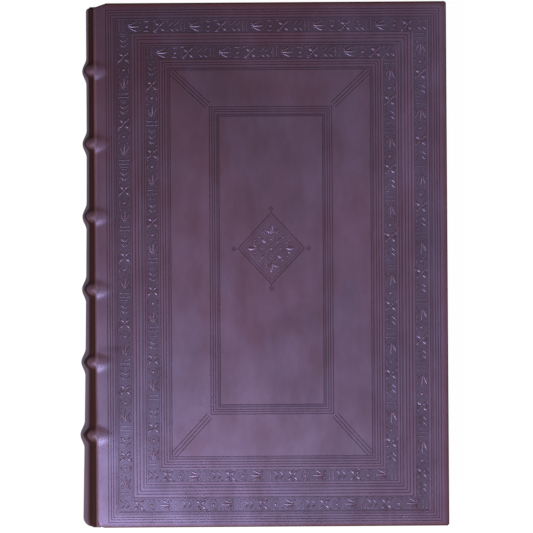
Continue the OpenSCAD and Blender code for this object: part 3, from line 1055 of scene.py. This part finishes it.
def spine_stations(tail_end, head_end):
    """Cuts along the height of the spine: fine over the bands and the two caps."""
    band_steps, skirt, step = 12, 1.25, 5 * MM
    reach = settings("spine").band_half_w * skirt
    places = []
    for band in bands():
        places += [band + reach * i / band_steps for i in range(-band_steps, band_steps + 1)]
    for (start, way, r), steps in zip(caps(), (8, 12)):
        places += [start + way * r * QUARTER_TURN * i / steps for i in range(steps + 1)]
    return stations(places, tail_end, head_end, step)


def spine_piece():
    """The calf of the spine: a sheet rolled round the arc, moulded over the cords, a cap at head and tail."""
    s = settings("spine")
    across, joint_gap, turned_down = 44, 0.5 * MM, 1.4 * MM
    r = spine_arc()[1]
    turn = math.asin((HINGE_HALF - joint_gap) / r)
    head_end = SPINE_HIGH.y + s.head_cap_r * (QUARTER_TURN - 1) + turned_down
    tail_end = SPINE_LOW.y - s.tail_cap_r * (QUARTER_TURN - 1)
    xs = [r * turn * (2 * i / across - 1) for i in range(across + 1)]
    sheet = blank("spine_calf", xs, spine_stations(tail_end, head_end), 0)
    for v in sheet.data.vertices:
        angle = v.co.x / r
        y, drop = rolled_cap(v.co.y)
        uneven = 0.05 * MM * (noise.noise(Vector((angle * 30, y * 60, 2.0))) - 1)
        v.co = on_spine(angle, r - drop + band_rise(angle, y) + uneven, y)
    apply(sheet, "SOLIDIFY", thickness=s.leather_t * 0.9, offset=-1)
    tidy(sheet)
    # Painted shade where the spine falls into the joint's groove
    paint(sheet, "joint", lambda co: joint_shade(min(0.0, co.x - HINGE.x), fullness(co.y)))
    return sheet


# A band's bend over the front joint, from the cover to the band's crest: across and up from the hinge, mm
BEND = [
    (4.2, 3.6), (3.0, 3.9), (1.8, 4.0), (0.6, 3.8), (-0.6, 3.35), (-1.8, 2.6), (-3.0, 1.2),
    (-3.9, -0.8), (-4.6, -3.2), (-5.1, -6.0), (-5.45, -9.0), (-5.6, -11.0), (-5.3, -12.0),
]


def smooth_curve(points, count):
    """Places along a smooth curve through the given points."""
    found = []
    for i in range(count):
        t = i * (len(points) - 1) / (count - 1)
        k = min(int(t), len(points) - 2)
        f = t - k
        a, b, c, d = (points[min(max(j, 0), len(points) - 1)] for j in range(k - 1, k + 3))
        square, cube = 2 * a - 5 * b + 4 * c - d, 3 * b - a - 3 * c + d
        found.append((2 * b + (c - a) * f + square * f**2 + cube * f**3) / 2)
    return found


def joint_strip(part, t, y, drop, front):
    """A point of the calf in a joint, at a share along its cover, bend or spine part."""
    lift, tuck, spine_reach = 0.22 * MM, 0.06 * MM, 6.5 * MM
    r = spine_arc()[1]
    hinge_angle = math.asin(HINGE_HALF / r)
    if part == "cover":
        across = HINGE.x + settings("calf").joint_run * t
        up = lift * smooth((1 - t) / 0.5) - tuck * (1 - smooth((1 - t) / 0.3))
        if front:
            up += swelling(across, y)
        return Vector((across, y, FACE_Z - joint_fall(across) + up - drop))
    if part == "bend":
        angle = QUARTER_TURN + (QUARTER_TURN - hinge_angle) * t
        reach = LIP_R + lift
        return HINGE + Vector((reach * math.cos(angle), y, reach * math.sin(angle) - drop))
    out = lift * (1 - smooth(t)) - tuck * smooth(t) + LIP_R * (1 - smooth(2.2 * t))
    angle = hinge_angle - spine_reach / r * t
    return on_spine(angle, r - drop + out + band_rise(angle, y), y)


def joint_piece(name, front):
    """The calf that bends in one joint, from the cover's hollow edge round the hinge line to the spine.
    On the front it runs in one swelling with each band."""
    s = settings("spine")
    cover_steps, bend_steps, spine_steps = 10, 8, 12
    cap_share, thickness = 0.3, 0.2 * MM
    rows = [("cover", 1 - i / cover_steps) for i in range(cover_steps)]
    rows += [("bend", i / bend_steps) for i in range(bend_steps + 1)]
    rows += [("spine", i / spine_steps) for i in range(1, spine_steps + 1)]
    bent = [HINGE + Vector((p.x, 0, p.y)) * MM for p in smooth_curve([Vector(p) for p in BEND], len(rows))]
    head_end = SPINE_HIGH.y + s.head_cap_r * cap_share
    tail_end = SPINE_LOW.y - s.tail_cap_r * cap_share
    sheet = blank(name, [i * MM for i in range(len(rows))], spine_stations(tail_end, head_end), 0)
    shades = []
    for v in sheet.data.vertices:
        i = round(v.co.x / MM)
        y, drop = rolled_cap(v.co.y)
        point = joint_strip(*rows[i], y, drop, front)
        # Painted shade of the joint's groove; on the front, round each band's bend, darker the further the
        # bend reaches past the hinge line
        shade = joint_shade(point.x - HINGE.x, fullness(y))
        if front:
            on_band = max(hump((y - band) / s.bend_half_w) for band in bands())
            left = HINGE.x - bent[i].x
            bent_shade = 0.2 * ramp(left, 1, 3) + 0.8 * ramp(left, 3.4, 1.2)
            point = point.lerp(filled(Vector((bent[i].x, y, bent[i].z))), on_band)
            shade += (bent_shade - shade) * on_band
        v.co = point
        shades.append(shade)
    store(sheet, "joint", shades)
    apply(sheet, "SOLIDIFY", thickness=thickness, offset=-1)
    tidy(sheet)
    if not front:
        turn_over(sheet)
    return sheet


def turn_over(obj):
    """Turns a piece of the front over, to be the same piece of the back."""
    for v in obj.data.vertices:
        v.co.z = FACE_Z - v.co.z
    obj.data.flip_normals()


# Leaves and endbands


def leaves_piece():
    """The text block: every leaf is a thin sheet, cut to the hollow fore-edge and the round spine."""
    s = settings("pages")
    back, foot = -1, -0.9
    foot_gap, back_gap = 0.5 * MM, 0.02 * MM
    uneven, cut_short = 0.09 * MM, 0.05 * MM
    thick = (FLYLEAF_LOW.z - REAR_FLYLEAF_HIGH.z) / s.leaves
    half = (FLYLEAF_LOW.z - REAR_FLYLEAF_HIGH.z) / 2
    hollow_r = arc_radius(half, s.fore_hollow)
    x = spine_arc()[0]
    pages_r = x - PAGES_LOW.x
    leaf = primitive(bpy.ops.mesh.primitive_cube_add, "leaf", (2, 2, 1), size=1)
    with editing(leaf):
        cut(leaf, (foot, 0, 0), (1, 0, 0))
    flare = (PAGES_HIGH.z - PAGES_LOW.z) / 2 / half
    parts = []
    for i in range(s.leaves):
        z = REAR_FLYLEAF_HIGH.z + thick * (i + 0.5)
        made = copy_of(leaf, "leaf", Matrix.Identity(4))
        waves = [noise.noise(Vector((i * 0.73, k * 5.1, 1.7))) for k in range(3)]
        fore, head, tail = (min(0.0, uneven * wave - cut_short) for wave in waves)
        level = z - MID_Z
        spread = level * flare
        back_x = x - math.sqrt(pages_r**2 - spread**2)
        fore_x = PAGES_HIGH.x - s.fore_hollow + hollow_r - math.sqrt(hollow_r**2 - level**2)
        for v in made.data.vertices:
            v.co.y = PAGES_HIGH.y + head if v.co.y > 0 else -(PAGES_HIGH.y + tail)
            up = v.co.z * thick
            if v.co.x > 0:
                v.co.x, v.co.z = fore_x + fore, z + up
            elif v.co.x > (back + foot) / 2:
                v.co.x, v.co.z = FLYLEAF_LOW.x - foot_gap, z + up
            else:
                v.co.x, v.co.z = back_x + back_gap, MID_Z + spread + up
        parts.append(made)
    bpy.data.objects.remove(leaf)
    return joined("leaves", parts)


def endband_piece(name, cores):
    """Silk wound over a core: a bar bent round the spine with a ridge for each turn of thread."""
    low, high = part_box(cores)
    end_gap, end_turn = 0.1 * MM, 0.004
    thread, thread_steps, ridge_share, turns_in_colour = 0.55 * MM, 4, 0.1, 4
    y = (low.y + high.y) / 2
    r = (high.y - low.y) / 2
    x = spine_arc()[0]
    path_r = x - (low.x + r)
    turn = math.asin((high.z - MID_Z - end_gap) / path_r) - end_turn
    turns = round(2 * turn * path_r / thread)
    ring = primitive(
        bpy.ops.mesh.primitive_circle_add,
        name,
        vertices=12,
        radius=r,
        location=on_arc(-turn, path_r, y),
        rotation=(0, -turn, 0),
    )
    with editing(ring):
        bpy.ops.mesh.select_all(action="SELECT")
        bpy.ops.mesh.edge_face_add()
        bpy.ops.mesh.spin(
            steps=turns * thread_steps, angle=2 * turn, center=(x, y, MID_Z), axis=(0, -1, 0)
        )
    shades = []
    for v in ring.data.vertices:
        angle = math.atan2(v.co.z - MID_Z, x - v.co.x)
        phase = (angle + turn) / (2 * turn) * turns
        centre = on_arc(angle, path_r, y)
        ridge = 1 - ridge_share + ridge_share * abs(math.sin(math.pi * phase))
        v.co = centre + (v.co - centre) * ridge
        shades.append(1.0 if int(phase / turns_in_colour + 0.5) % 2 else 0.0)
    store(ring, "wound", shades)
    tidy(ring)
    return ring


# Materials


def add_node(tree, kind, inputs=None, **fields):
    """Adds a node, sets its fields, and sets or joins its inputs."""
    made = tree.nodes.new(kind)
    for field, value in fields.items():
        setattr(made, field, value)
    for name, value in (inputs or {}).items():
        if isinstance(value, bpy.types.NodeSocket):
            tree.links.new(value, made.inputs[name])
        else:
            made.inputs[name].default_value = value
    return made


def new_material(name):
    """An empty material and its node tree."""
    material = bpy.data.materials.new(name)
    material.use_nodes = True
    material.node_tree.nodes.clear()
    return material, material.node_tree


def grown(tree, size, detail, rough, stretch=(1, 1, 1)):
    """A natural pattern fixed to the piece, with features about one size across, in mm."""
    coords = add_node(tree, "ShaderNodeTexCoord")
    inputs = {"Vector": coords.outputs["Object"], "Scale": stretch}
    place = add_node(tree, "ShaderNodeMapping", inputs).outputs["Vector"]
    inputs = {"Vector": place, "Scale": 1 / (size * MM), "Detail": detail, "Roughness": rough}
    return add_node(tree, "ShaderNodeTexNoise", inputs).outputs["Fac"]


def blot(tree, x, y, half_l, half_w, turn):
    """A soft oval mark on the cover, in mm: 1 in its middle, 0 outside it."""
    c, s = math.cos(turn), math.sin(turn)
    coords = add_node(tree, "ShaderNodeTexCoord")
    inputs = {
        "Vector": coords.outputs["Object"],
        "Location": (-(c * x + s * y) / half_l, -(-s * x + c * y) / half_w, 0),
        "Rotation": (0, 0, -turn),
        "Scale": (1 / (half_l * MM), 1 / (half_w * MM), 0),
    }
    place = add_node(tree, "ShaderNodeMapping", inputs).outputs["Vector"]
    return add_node(tree, "ShaderNodeTexGradient", {"Vector": place}, gradient_type="SPHERICAL").outputs["Fac"]


def toned(tree, base, tones):
    """Mixes colours into a base one after another. Each tone is what rules it, that value where it
    starts and where it is full, its share when full, and its colour."""
    for value, low, high, share, tint in tones:
        limits = {"Value": value, "From Min": low, "From Max": high, "To Max": share}
        amount = add_node(tree, "ShaderNodeMapRange", limits).outputs[0]
        base = add_node(tree, "ShaderNodeMix", {0: amount, 6: base, 7: tint}, data_type="RGBA").outputs[2]
    return base


def worn_and_shaded(tree, amount, wears_and_shades):
    """Lowers an amount by one cause after another. Each is what rules it, that value where it starts
    and where it is full, and what the amount is multiplied by at the two."""
    for value, low, high, at_low, at_high in wears_and_shades:
        limits = {"Value": value, "From Min": low, "From Max": high, "To Min": at_low, "To Max": at_high}
        left = add_node(tree, "ShaderNodeMapRange", limits).outputs[0]
        amount = add_node(tree, "ShaderNodeMath", {0: amount, 1: left}, operation="MULTIPLY").outputs[0]
    return amount


def surface(tree, base, rough, relief, **more):
    """Joins a colour, a roughness and a relief, given as height, strength and depth in mm."""
    height, strength, depth = relief
    bump = add_node(tree, "ShaderNodeBump", {"Height": height, "Strength": strength, "Distance": depth * MM})
    inputs = {"Base Color": base, "Roughness": rough, "Normal": bump.outputs["Normal"]}
    for name, value in more.items():
        inputs[name.replace("_", " ")] = value
    shader = add_node(tree, "ShaderNodeBsdfPrincipled", inputs)
    add_node(tree, "ShaderNodeOutputMaterial", {0: shader.outputs[0]})


def calf_material(name, flat, marks, polish=1.0):
    """Vegetable-tanned calf, dyed, waxed and polished: closed pores, cloudy dye and a broad cool shine.
    Heat darkens it where it is tooled, and painted shade reddens and darkens it at the edges and in the joint."""
    s = settings("calf")
    material, tree = new_material(name)
    clouds = grown(tree, 70, 4, 0.55)
    brushed = grown(tree, 9, 3, 0.6, (1, 0.25, 1))
    # Calf's pores are about 0.1 mm apart; they are drawn at 0.4 mm, so that they show
    pores = grown(tree, 0.4, 2, 0.6)
    creases = grown(tree, 2.5, 4, 0.65)
    smears = grown(tree, 24, 6, 0.62, (1, 0.6, 1))
    tooled, edge, inside, joint = (
        add_node(tree, "ShaderNodeAttribute", attribute_name=word).outputs["Fac"]
        for word in ("tooled", "edge", "inside", "joint")
    )
    stains = [(blot(tree, *place), strength) for *place, strength in marks]
    tones = [
        (clouds, 0.42, 0.66, 0.6, s.cloudy),
        (brushed, 0.35, 0.75, 0.35, s.cloudy),
        (pores, 0.55, 0.75, 0.25, s.tooled),
        *((stain, 0, 0.7, strength, s.tooled) for stain, strength in stains),
        (tooled, 0, 1, 0.65, s.tooled),
        # Painted shade: red-brown along the rounded edges
        (edge, 0, 1, 0.85, s.edge),
        (inside, 0, 1, 0.9, s.turned),
        # Painted shade: red-brown, then dark brown, down in the joint's groove and its creases
        (joint, 0.05, 0.5, 0.6, s.edge),
        (joint, 0.3, 0.8, 1, s.joint),
    ]
    # The shine is nearly taken off in the joint's groove and along the rounded edges, with the painted
    # shade there; the wax doesn't reach the bottom of the tooling, and is smeared, brushed and stained
    # elsewhere
    wears_and_shades = [
        (joint, 0.1, 0.8, 1, 0.06 / polish),
        (tooled, 0, 1, 1, 0.84),
        (edge, 0, 1, 1, 0.12),
        (smears, 0.36, 0.64, 1.04, 0.72),
        (brushed, 0.4, 0.7, 1, 0.9),
        *((stain, 0, 0.7, 1, 1 - 0.55 * strength) for stain, strength in stains),
    ]
    polished, unpolished, dull = 0.38, 0.3, 0.8
    dullest = polished + unpolished * (1 - polish)
    limits = {"Value": joint, "To Min": dullest, "To Max": dull}
    rough = add_node(tree, "ShaderNodeMapRange", limits).outputs[0]
    height = (0.5, 0.5, 0.5, 1)
    for share, grain in ((0.35, pores), (0.5, creases)):
        height = add_node(tree, "ShaderNodeMix", {0: share, 6: height, 7: grain}, data_type="RGBA").outputs[2]
    surface(
        tree,
        toned(tree, flat, tones),
        rough,
        (height, 0.35, 0.05),
        IOR=1.8,
        Specular_Tint=s.gloss,
        Specular_IOR_Level=worn_and_shaded(tree, polish, wears_and_shades),
    )
    return material


def paper_material(name, sheet, foxed, laid):
    """Handmade rag paper, sized with gelatine: fibres, toning and, where asked for, laid lines and a
    few brown spots. The laid lines are about 1 mm apart on the real one, and are drawn at 2 mm, so
    that they show."""
    s = settings("pages")
    material, tree = new_material(name)
    fibres = grown(tree, 0.6, 5, 0.7)
    tones = [(grown(tree, 90, 3, 0.5), 0.4, 0.7, 0.5, s.dusty), (fibres, 0.5, 0.8, 0.25, s.dusty)]
    if foxed:
        tones.append((grown(tree, 7, 2, 0.4), 0.66, 0.78, 0.7, s.foxing))
    height = fibres
    if laid:
        # The wave pattern has 20 radians in a unit, and this is its scale for lines 2 mm apart
        line_scale = 2 * math.pi / (20 * 2 * MM)
        coords = add_node(tree, "ShaderNodeTexCoord")
        inputs = {"Vector": coords.outputs["Object"], "Scale": line_scale}
        lines = add_node(tree, "ShaderNodeTexWave", inputs, bands_direction="Y").outputs["Fac"]
        height = add_node(tree, "ShaderNodeMix", {0: 0.5, 6: fibres, 7: lines}, data_type="RGBA").outputs[2]
    surface(tree, toned(tree, sheet, tones), 0.85, (height, 0.3, 0.03), Specular_IOR_Level=0.3)
    return material


def leaf_edge_material():
    """The cut edges of a block of rag paper: each leaf a shade of its own, with dusty patches."""
    s = settings("pages")
    material, tree = new_material("rag_paper_cut_edges")
    leaf_mm = (FLYLEAF_LOW.z - REAR_FLYLEAF_HIGH.z) / s.leaves / MM
    layers = grown(tree, 2 * leaf_mm, 2, 0.7, (0.02, 0.02, 1))
    patches = grown(tree, 30, 4, 0.6, (1, 1, 2))
    tones = [(layers, 0.35, 0.65, 0.7, s.dusty), (patches, 0.5, 0.75, 0.5, s.dusty)]
    surface(tree, toned(tree, s.edge, tones), 0.8, (layers, 0.6, 0.06), Specular_IOR_Level=0.3)
    return material


def fibre_material(name, tint, shade, size, stretch, rough):
    """Spun or pressed fibre: streaks of one size in mm, drawn out along one way."""
    material, tree = new_material(name)
    strands = grown(tree, size, 4, 0.7, stretch)
    base = toned(tree, tint, [(strands, 0.35, 0.7, 1, shade)])
    surface(tree, base, rough, (strands, 0.7, size / 3), Specular_IOR_Level=0.3)
    return material


def silk_material():
    """Twisted silk thread in two colours, wound over the endband's core: a soft lustre along each turn."""
    s = settings("pages")
    material, tree = new_material("wound_silk")
    strands = grown(tree, 0.25, 3, 0.6)
    wound = add_node(tree, "ShaderNodeAttribute", attribute_name="wound").outputs["Fac"]
    base = toned(tree, s.silk, [(wound, 0, 1, 1, s.silk_dark), (strands, 0.5, 0.8, 0.3, s.dusty)])
    surface(tree, base, 0.45, (strands, 0.5, 0.05), Sheen_Weight=0.3, Sheen_Roughness=0.4)
    return material


def finish_with(obj, material, slot, body=None):
    """Gives a piece its material, and sets it on its body where one is given. Its slot is not used."""
    obj.data.materials.clear()
    obj.data.materials.append(material)
    if body:
        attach(obj, body)


# Soft marks on the front cover: x, y, half length and half width in mm, turn, strength
COVER_MARKS = [
    (22.5, -129, 12, 2.2, math.radians(45), 0.75),
    (20, -40, 26, 15, math.radians(15), 0.22),
    (68, 6, 9, 22, math.radians(-20), 0.22),
    (-113, -62, 16, 3.6, 0.0, 0.3),
    (-20, 130, 60, 30, 0.2, 0.14),
]


class CALFFOLIO_OT_covers(bpy.types.Operator):
    """Model the calf of both covers, tooled on the front"""

    bl_idname = "calf_folio.covers"
    bl_label = "Covers in calf"

    def execute(self, context):
        s = settings("calf")
        front = cover_skin("front_cover_calf", True)
        dress_cover(front, True)
        back = cover_skin("back_cover_calf", False)
        dress_cover(back, False)
        turn_over(back)
        forms = roll_forms()
        relief = rolled_relief(forms)
        centre = centre_relief(forms)
        for form in forms.values():
            bpy.data.objects.remove(form)
        calf = calf_material("waxed_calf_front", s.flat, COVER_MARKS)
        plain = calf_material("waxed_calf_back", s.flat, [])
        for obj, material, body in (
            (front, calf, "front_cover"),
            (relief, calf, "front_cover"),
            (centre, calf, "front_cover"),
            (back, plain, "back_cover"),
        ):
            soften(obj)
            finish_with(obj, material, "cover_calf", body)
        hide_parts("front_cover_leather")
        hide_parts("back_cover_leather")
        return {"FINISHED"}


class CALFFOLIO_OT_spine(bpy.types.Operator):
    """Model the calf of the spine and of the two joints"""

    bl_idname = "calf_folio.spine"
    bl_label = "Spine and joints"

    def execute(self, context):
        calf = calf_material("waxed_calf_spine", settings("spine").calf, [], 0.6)
        spine = spine_piece()
        joints = [joint_piece("front_joint_calf", True), joint_piece("back_joint_calf", False)]
        for obj in (spine, *joints):
            soften(obj, 60)
        finish_with(spine, calf, "spine_calf", "book_block")
        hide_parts("spine_leather")
        # Each joint strip, with its hinge line, its cover's body and which way its cover faces
        for obj, hinge, body, up in (
            (joints[0], HINGE, "front_cover", 1),
            (joints[1], HINGES["back_cover_hinge"], "back_cover", -1),
        ):
            finish_with(obj, calf, "spine_calf")
            if up > 0:
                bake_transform(obj)
            else:
                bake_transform(obj)
        return {"FINISHED"}


class CALFFOLIO_OT_pages(bpy.types.Operator):
    """Model the leaves and the wound endbands"""

    bl_idname = "calf_folio.pages"
    bl_label = "Leaves and endbands"

    def execute(self, context):
        leaves = leaves_piece()
        finish_with(leaves, leaf_edge_material(), "page_edges", "book_block")
        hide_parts("text_block")
        silk = silk_material()
        for end in ("head", "tail"):
            node = end + "_endband_silk"
            band = endband_piece(end + "_endband_wound", node)
            soften(band, 80, weighted=False)
            finish_with(band, silk, "endband_silk", "book_block")
            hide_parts(node)
        return {"FINISHED"}


class CALFFOLIO_OT_forwarding(bpy.types.Operator):
    """Finish the endpapers, boards, cords, linings and stitches"""

    bl_idname = "calf_folio.forwarding"
    bl_label = "Endpapers, boards and cords"

    def execute(self, context):
        s = settings("pages")
        endpaper = paper_material("laid_endpaper", s.sheet, True, True)
        lining = paper_material("lining_paper", s.linen, False, False)
        board = fibre_material("pasteboard", s.board, s.dusty, 1.5, (1, 1, 6), 0.9)
        hemp = fibre_material("hemp_cord", s.hemp, s.dusty, 0.5, (1, 3, 1), 0.85)
        linen = fibre_material("linen_thread", s.linen, s.hemp, 0.2, (1, 3, 1), 0.8)
        finishes = {
            "flyleaf": (endpaper, "endpaper"),
            "pastedown": (endpaper, "endpaper"),
            "lining": (lining, "lining_paper"),
            "infill": (lining, "lining_paper"),
            "front_board": (board, "pasteboard"),
            "back_board": (board, "pasteboard"),
            "cord": (hemp, "hemp_cord"),
            "core": (hemp, "hemp_cord"),
            "stitch": (linen, "sewing_thread"),
        }
        for name, obj in frame["nodes"].items():
            for word, (material, slot) in finishes.items():
                if word in name:
                    finish_with(obj, material, slot)
        return {"FINISHED"}


class CALFFOLIO_OT_stage(bpy.types.Operator):
    """Set the floor, the lamps, the room light and the camera"""

    bl_idname = "calf_folio.stage"
    bl_label = "Floor, light and camera"

    def execute(self, context):
        s = settings("stage")
        floor_w, far = 12, 50
        floor = primitive(bpy.ops.mesh.primitive_plane_add, "floor", size=floor_w, location=(0, 0, 0))
        floor.data.materials.append(floor_material(s.floor, s.glow))
        for name, place, size, power in (
            ("window", (-0.21, -0.46, 0.7), 0.4, s.window_w),
            ("fill", (0.55, 0.1, 0.9), 0.5, s.fill_w),
        ):
            light = bpy.data.lights.new(name, "AREA")
            light.shape = "SQUARE"
            light.size = size
            light.energy = power
            lamp = set_up(name, light, place, (-Vector(place)).to_track_quat("-Z", "Y").to_euler())
            lamp.visible_camera = False
        room_light(s.sky)
        camera = bpy.data.cameras.new("camera")
        camera.lens = camera.sensor_width * s.distance / s.view_w
        camera.clip_end = far
        place = (s.view_x, s.view_y, FACE_Z + s.distance)
        context.scene.camera = set_up("camera", camera, place, (0, 0, -s.turn))
        context.scene.view_settings.view_transform = "Standard"
        return {"FINISHED"}


def set_up(name, data, place, turn):
    """Sets a lamp or the camera in its place."""
    obj = bpy.data.objects.new(name, data)
    obj.location = place
    obj.rotation_euler = turn
    bpy.context.scene.collection.objects.link(obj)
    return obj


def floor_material(tint, glow):
    """Matt white paint. The camera sees it lifted to white, with the book's shadow kept."""
    lifted, white = 0.9, (1, 1, 1, 1)
    material, tree = new_material("matt_white_floor")
    base = toned(tree, tint, [(grown(tree, 40, 2, 0.5), 0.4, 0.6, 0.03, (0.8, 0.8, 0.8, 1))])
    matt = add_node(tree, "ShaderNodeBsdfDiffuse", {"Color": base})
    light = add_node(tree, "ShaderNodeEmission", {"Color": white, "Strength": glow})
    path = add_node(tree, "ShaderNodeLightPath")
    share = add_node(
        tree, "ShaderNodeMath", {0: path.outputs["Is Camera Ray"], 1: lifted}, operation="MULTIPLY"
    )
    sides = {0: share.outputs[0], 1: matt.outputs[0], 2: light.outputs[0]}
    both = add_node(tree, "ShaderNodeMixShader", sides)
    add_node(tree, "ShaderNodeOutputMaterial", {0: both.outputs[0]})
    return material


def room_light(strength):
    """Plain grey light from all round. The camera sees white."""
    world = bpy.data.worlds.new("room")
    bpy.context.scene.world = world
    world.use_nodes = True
    tree = world.node_tree
    tree.nodes.clear()
    path = add_node(tree, "ShaderNodeLightPath")
    limits = {"Value": path.outputs["Is Camera Ray"], "To Min": strength, "To Max": 1.0}
    strengths = add_node(tree, "ShaderNodeMapRange", limits).outputs[0]
    light = add_node(tree, "ShaderNodeBackground", {"Color": (1, 1, 1, 1), "Strength": strengths})
    add_node(tree, "ShaderNodeOutputWorld", {0: light.outputs[0]})


OPERATORS = [
    CALFFOLIO_OT_covers,
    CALFFOLIO_OT_spine,
    CALFFOLIO_OT_pages,
    CALFFOLIO_OT_forwarding,
    CALFFOLIO_OT_stage,
]


class CALFFOLIO_PT_panel(bpy.types.Panel):
    """The steps that build the book"""

    bl_idname = "CALFFOLIO_PT_panel"
    bl_label = "Calf Folio"
    bl_space_type = "VIEW_3D"
    bl_region_type = "UI"
    bl_category = "Calf Folio"

    def draw(self, context):
        for step in OPERATORS:
            self.layout.operator(step.bl_idname)


def register():
    for name, group in SETTINGS.items():
        bpy.utils.register_class(group)
        setattr(bpy.types.Scene, PREFIX + name, bpy.props.PointerProperty(type=group))
    for step in [*OPERATORS, CALFFOLIO_PT_panel]:
        bpy.utils.register_class(step)


def unregister():
    for step in [CALFFOLIO_PT_panel, *reversed(OPERATORS)]:
        bpy.utils.unregister_class(step)
    for name, group in SETTINGS.items():
        delattr(bpy.types.Scene, PREFIX + name)
        bpy.utils.unregister_class(group)


def main():
    register()
    bpy.ops.calf_folio.covers()
    bpy.ops.calf_folio.spine()
    bpy.ops.calf_folio.pages()
    bpy.ops.calf_folio.forwarding()
    bpy.ops.calf_folio.stage()


if __name__ == "__main__":
    main()
